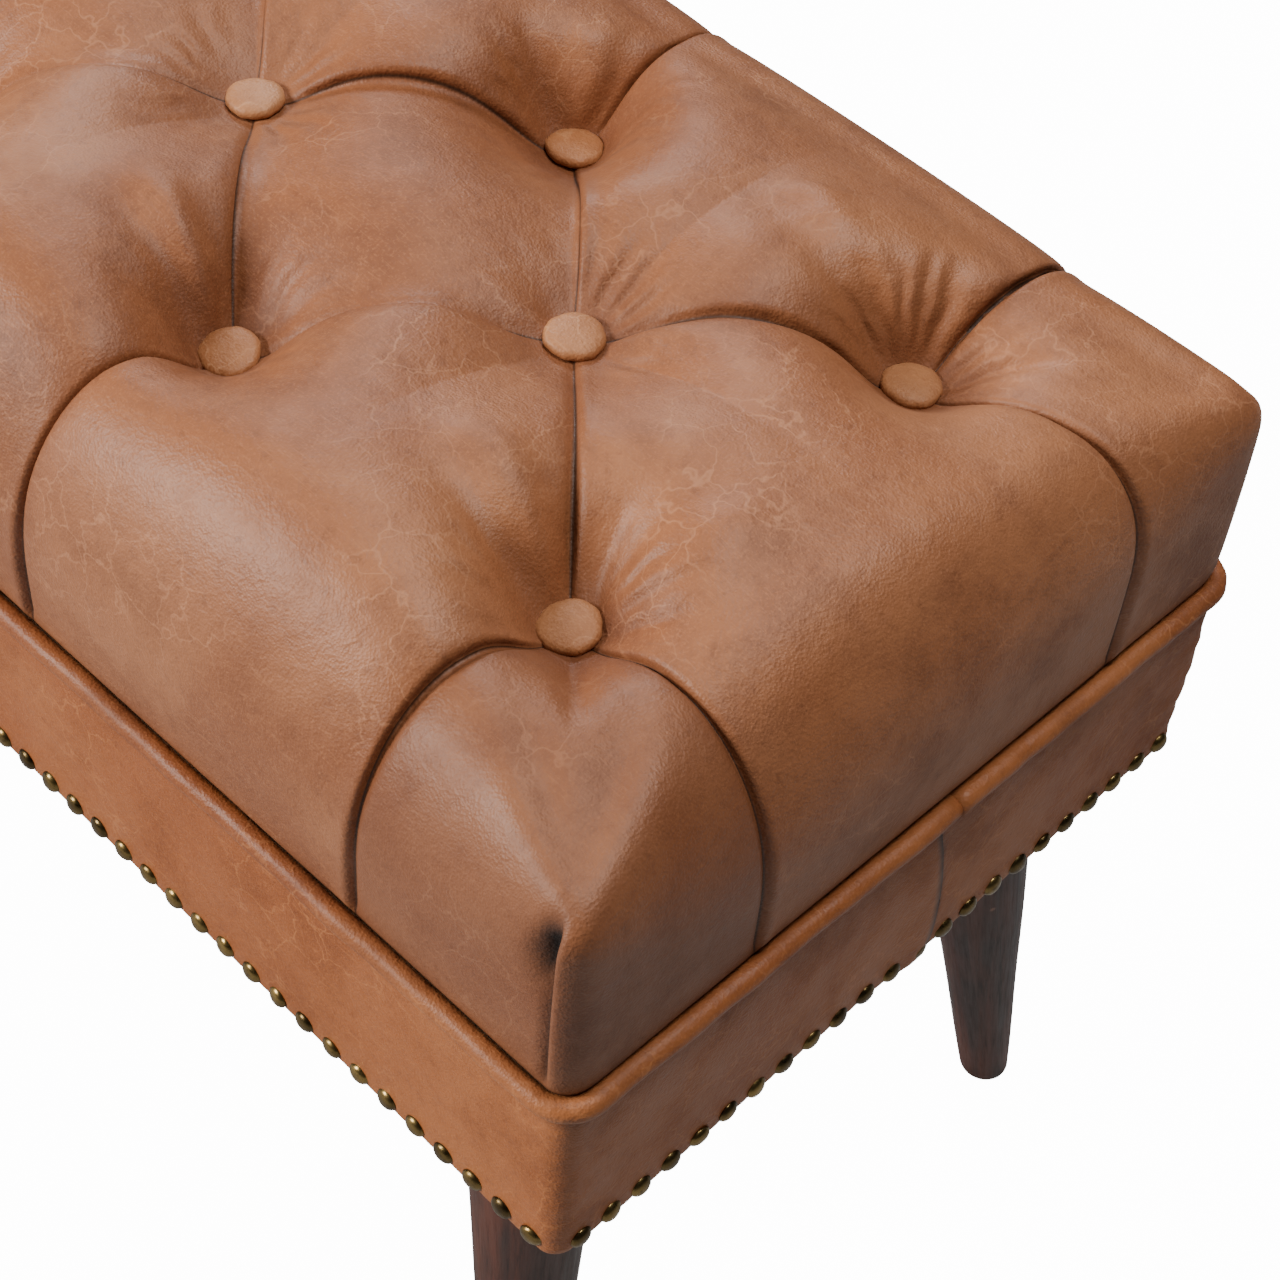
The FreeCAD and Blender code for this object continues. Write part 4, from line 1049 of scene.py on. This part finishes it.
for side in (-1, 1):
    places, outward, levels, outs = band(side)
    if side < 0:
        # The front strip lies over the back one at both ends.
        along = length_along(places)
        distance = np.minimum(along, along[-1] - along)
        outs = outs + (0.0019 * (1 - smooth_step(distance, 0.004, 0.022)))[:, None]
    points, faces = swept(places, outward, levels, outs)
    if side > 0:
        points = whole_turn(points)
        points[:, 1] += (2 * JOINT_Y - LAP) * (points[:, 1] < 0.06) \
            * smooth_step(-points[:, 1], -0.06, 0.0)
    else:
        # Its edge is cut in a curve.
        curve = lap_place(points[:, 2]) - JOINT_Y
        points[:, 1] += curve * smooth_step(points[:, 1], -0.03, JOINT_Y)
    name = "band_front" if side < 0 else "band_back"
    item = made(name, points, faces)
    # Painted shadow along the lapped edge on each end, and under the piping along the band's top.
    from_lap = points[:, 1] - lap_place(points[:, 2])
    reach = 0.0022 if side > 0 else 0.0010
    shadow = np.exp(-(from_lap / reach) ** 2) * (np.abs(points[:, 0]) > HALF_LENGTH - 0.004)
    top_shadow = 0.8 * smooth_step(points[:, 2], BAND_TOP - 0.007, BAND_TOP)
    write_attribute(item.data, "pocket", np.maximum(0.9 * shadow, top_shadow))
    nodes = ("front_band",) if side < 0 else ("back_band", "band_padding")
    finished(item, "leather", BAND_LEATHER, *nodes)

# Legs

FOOT_PLACE = (0.4889, 0.1515)
FOOT_RADIUS = 0.0110
TOP_PLACE = (0.4582, 0.1214)
TOP_RADIUS = 0.0275
LEG_TOP = high("leg_front_right")[2]
LEG_TURNS = 64


def leg(sx, sy):
    """A turned cone along its own axis, cut level at the floor and at the plate."""
    foot = np.array([sx * FOOT_PLACE[0], sy * FOOT_PLACE[1], 0])
    top = np.array([sx * TOP_PLACE[0], sy * TOP_PLACE[1], LEG_TOP])
    axis = (top - foot) / np.linalg.norm(top - foot)
    side = np.cross(axis, (0, 0, 1))
    side /= np.linalg.norm(side)
    other = np.cross(axis, side)
    rings = [(0.0, 0.86), (0.0, 0.93), (0.0007, 0.975), (0.0020, 0.998), (0.005, 1.0)]
    rings += [(LEG_TOP * t, 1.0) for t in np.linspace(0.06, 0.97, 16)]
    rings += [(LEG_TOP - 0.0012, 0.998), (LEG_TOP, 0.97)]
    points = [foot]
    for level, fullness in rings:
        t = level / LEG_TOP
        centre = foot + (top - foot) * t
        radius = (FOOT_RADIUS + (TOP_RADIUS - FOOT_RADIUS) * t) * fullness
        radius += 0.00015 * math.sin(level * 60)
        for k in range(LEG_TURNS):
            a = 2 * math.pi * k / LEG_TURNS
            p = centre + radius * (side * math.cos(a) + other * math.sin(a))
            # Slide along the axis to the ring's own level.
            p = p + axis * (level - p[2]) / axis[2]
            points.append(p)
    points.append(top)
    return np.array(points), ring_faces(len(rings), LEG_TURNS), axis


corner_names = {(-1, -1): "front_left", (1, -1): "front_right",
                (-1, 1): "back_left", (1, 1): "back_right"}
for (sx, sy), corner in corner_names.items():
    points, faces, axis = leg(sx, sy)
    item = made("turned_leg_" + corner, points, faces)
    # Places along the leg's own axis, so that the grain follows it.
    turn = Vector((0, 0, 1)).rotation_difference(Vector(axis)).to_matrix()
    foot = np.array([sx * FOOT_PLACE[0], sy * FOOT_PLACE[1], 0])
    local = (points - foot) @ np.array(turn) + np.array([0, 0, sx + 2 * sy])
    write_attribute(item.data, "own_place", local)
    finished(item, "wood_leg", LEG_WOOD, "leg_" + corner)

# Black cloth below

cloth_x = HALF_LENGTH - 0.008
cloth_y = HALF_WIDTH - 0.008
CLOTH_BASE = low("dust_cover")[2]
CLOTH_PAN = high("dust_cover")[2] - 0.0005
CLOTH_THICKNESS = 0.0004


def cloth_level(x, y):
    """The cloth lies under the turned-in leather at its rim, and sags a little."""
    from_rim = np.minimum(cloth_x - np.abs(x), cloth_y - np.abs(y))
    level = CLOTH_BASE + (CLOTH_PAN - CLOTH_BASE) * smooth_step(from_rim, 0.009, 0.013)
    sag = 0.0022 * np.cos(x / cloth_x * math.pi / 2) ** 0.7 * np.cos(y / cloth_y * math.pi / 2)
    ripples = 0.0003 * np.sin(x * 90 + 6 * y) * np.cos(y / cloth_y * math.pi / 2)
    return level - (sag + ripples) * smooth_step(from_rim, 0.013, 0.04) * (np.abs(x) < 0.42)


xs = np.linspace(-cloth_x, cloth_x, 161)
ys = np.linspace(-cloth_y, cloth_y, 67)
grid_x, grid_y = np.meshgrid(xs, ys, indexing="ij")
lower = np.stack([grid_x, grid_y, cloth_level(grid_x, grid_y)], axis=2)
upper = lower + np.array([0, 0, CLOTH_THICKNESS])
cloth_points = np.concatenate([lower.reshape(-1, 3), upper.reshape(-1, 3)])
across = len(ys)
count = len(xs) * across
cloth_faces = []
for i in range(len(xs) - 1):
    for j in range(across - 1):
        a = i * across + j
        cloth_faces.append((a, a + 1, a + across + 1, a + across))
        cloth_faces.append((count + a, count + a + across, count + a + across + 1, count + a + 1))
rim = [(i, 0) for i in range(len(xs))] + [(len(xs) - 1, j) for j in range(1, across)]
rim += [(i, across - 1) for i in range(len(xs) - 2, -1, -1)]
rim += [(0, j) for j in range(across - 2, 0, -1)]
for k, (i, j) in enumerate(rim):
    i2, j2 = rim[(k + 1) % len(rim)]
    a, b = i * across + j, i2 * across + j2
    cloth_faces.append((a, count + a, count + b, b)[::-1])
cloth = made("dust_cloth", cloth_points, cloth_faces)
finished(cloth, "black_cloth", BLACK_CLOTH, "dust_cover")

# Pieces that keep their own shape

CARRIED = {
    "frame_wood": FRAME_WOOD, "plywood": PLYWOOD, "steel": STEEL, "twine": TWINE,
    "foam": FOAM, "wadding": WADDING, "leather": SEAT_LEATHER, "piping": PIPING_LEATHER,
    "wood_leg": LEG_WOOD, "brass": BRASS, "black_cloth": BLACK_CLOTH,
}
slots = {part["node"]: part["material_slot"] for part in frame["record"]["subparts"]}
for name, node in frame["nodes"].items():
    node.data.materials.clear()
    node.data.materials.append(CARRIED[slots[name]])

# Stage, light and camera


def look_along(forward, roll):
    forward = Vector(forward).normalized()
    right = forward.cross(Vector((0, 0, 1))).normalized()
    up = right.cross(forward)
    right_rolled = right * math.cos(roll) + up * math.sin(roll)
    up_rolled = up * math.cos(roll) - right * math.sin(roll)
    return Matrix((right_rolled, up_rolled, -forward)).transposed()


CAMERA_PLACE = Vector((0.83953, -0.52858, 1.14245))
CAMERA_FORWARD = (-0.42650, 0.49369, -0.75787)
CAMERA_ROLL = math.radians(5.42)
camera_data = bpy.data.cameras.new("camera")
camera_data.lens = 80.915
camera_data.sensor_width = 36
camera = linked("camera", camera_data)
camera.matrix_world = (Matrix.Translation(CAMERA_PLACE)
                       @ look_along(CAMERA_FORWARD, CAMERA_ROLL).to_4x4())
bpy.context.scene.camera = camera

floor = made("floor", [(-6, -6, 0), (6, -6, 0), (6, 6, 0), (-6, 6, 0)], [(0, 1, 2, 3)],
             smooth=False)
studio = Nodes("studio_floor")
studio.link(studio.mix(studio.noise(3.0, 2.0), (0.40, 0.40, 0.40), (0.37, 0.37, 0.37)),
            studio.shader.inputs["Base Color"])
studio.shader.inputs["Roughness"].default_value = 0.9
studio.shader.inputs["Emission Color"].default_value = (1, 1, 1, 1)
# The floor looks bright, and throws little of it back at the bench.
seen = studio.add("ShaderNodeLightPath").outputs["Is Camera Ray"]
studio.link(studio.range(seen, 0.0, 1.0, 0.03, 14.0, smooth=False),
            studio.shader.inputs["Emission Strength"])
floor.data.materials.append(studio.material)


def area_light(name, place, target, size, power, colour=(1, 1, 1)):
    data = bpy.data.lights.new(name, "AREA")
    data.size = size
    data.energy = power
    data.color = colour
    item = linked(name, data)
    item.location = place
    aim = Vector(target) - Vector(place)
    item.rotation_euler = aim.to_track_quat("-Z", "Y").to_euler()


area_light("key", (-1.2, -2.3, 1.75), (0.25, 0, 0.4), 1.0, 146, (1.0, 0.95, 0.90))
area_light("window", (-1.7, 1.6, 2.2), (0.2, 0, 0.4), 0.9, 48, (0.88, 0.94, 1.0))
area_light("top", (0.8, 0.4, 2.9), (0.3, 0, 0.4), 1.0, 62, (1.0, 0.97, 0.93))
world = bpy.data.worlds.new("world")
bpy.context.scene.world = world
world.use_nodes = True
sky = world.node_tree.nodes["Background"].inputs
sky["Color"].default_value = (0.94, 0.96, 1, 1)
sky["Strength"].default_value = 0.07
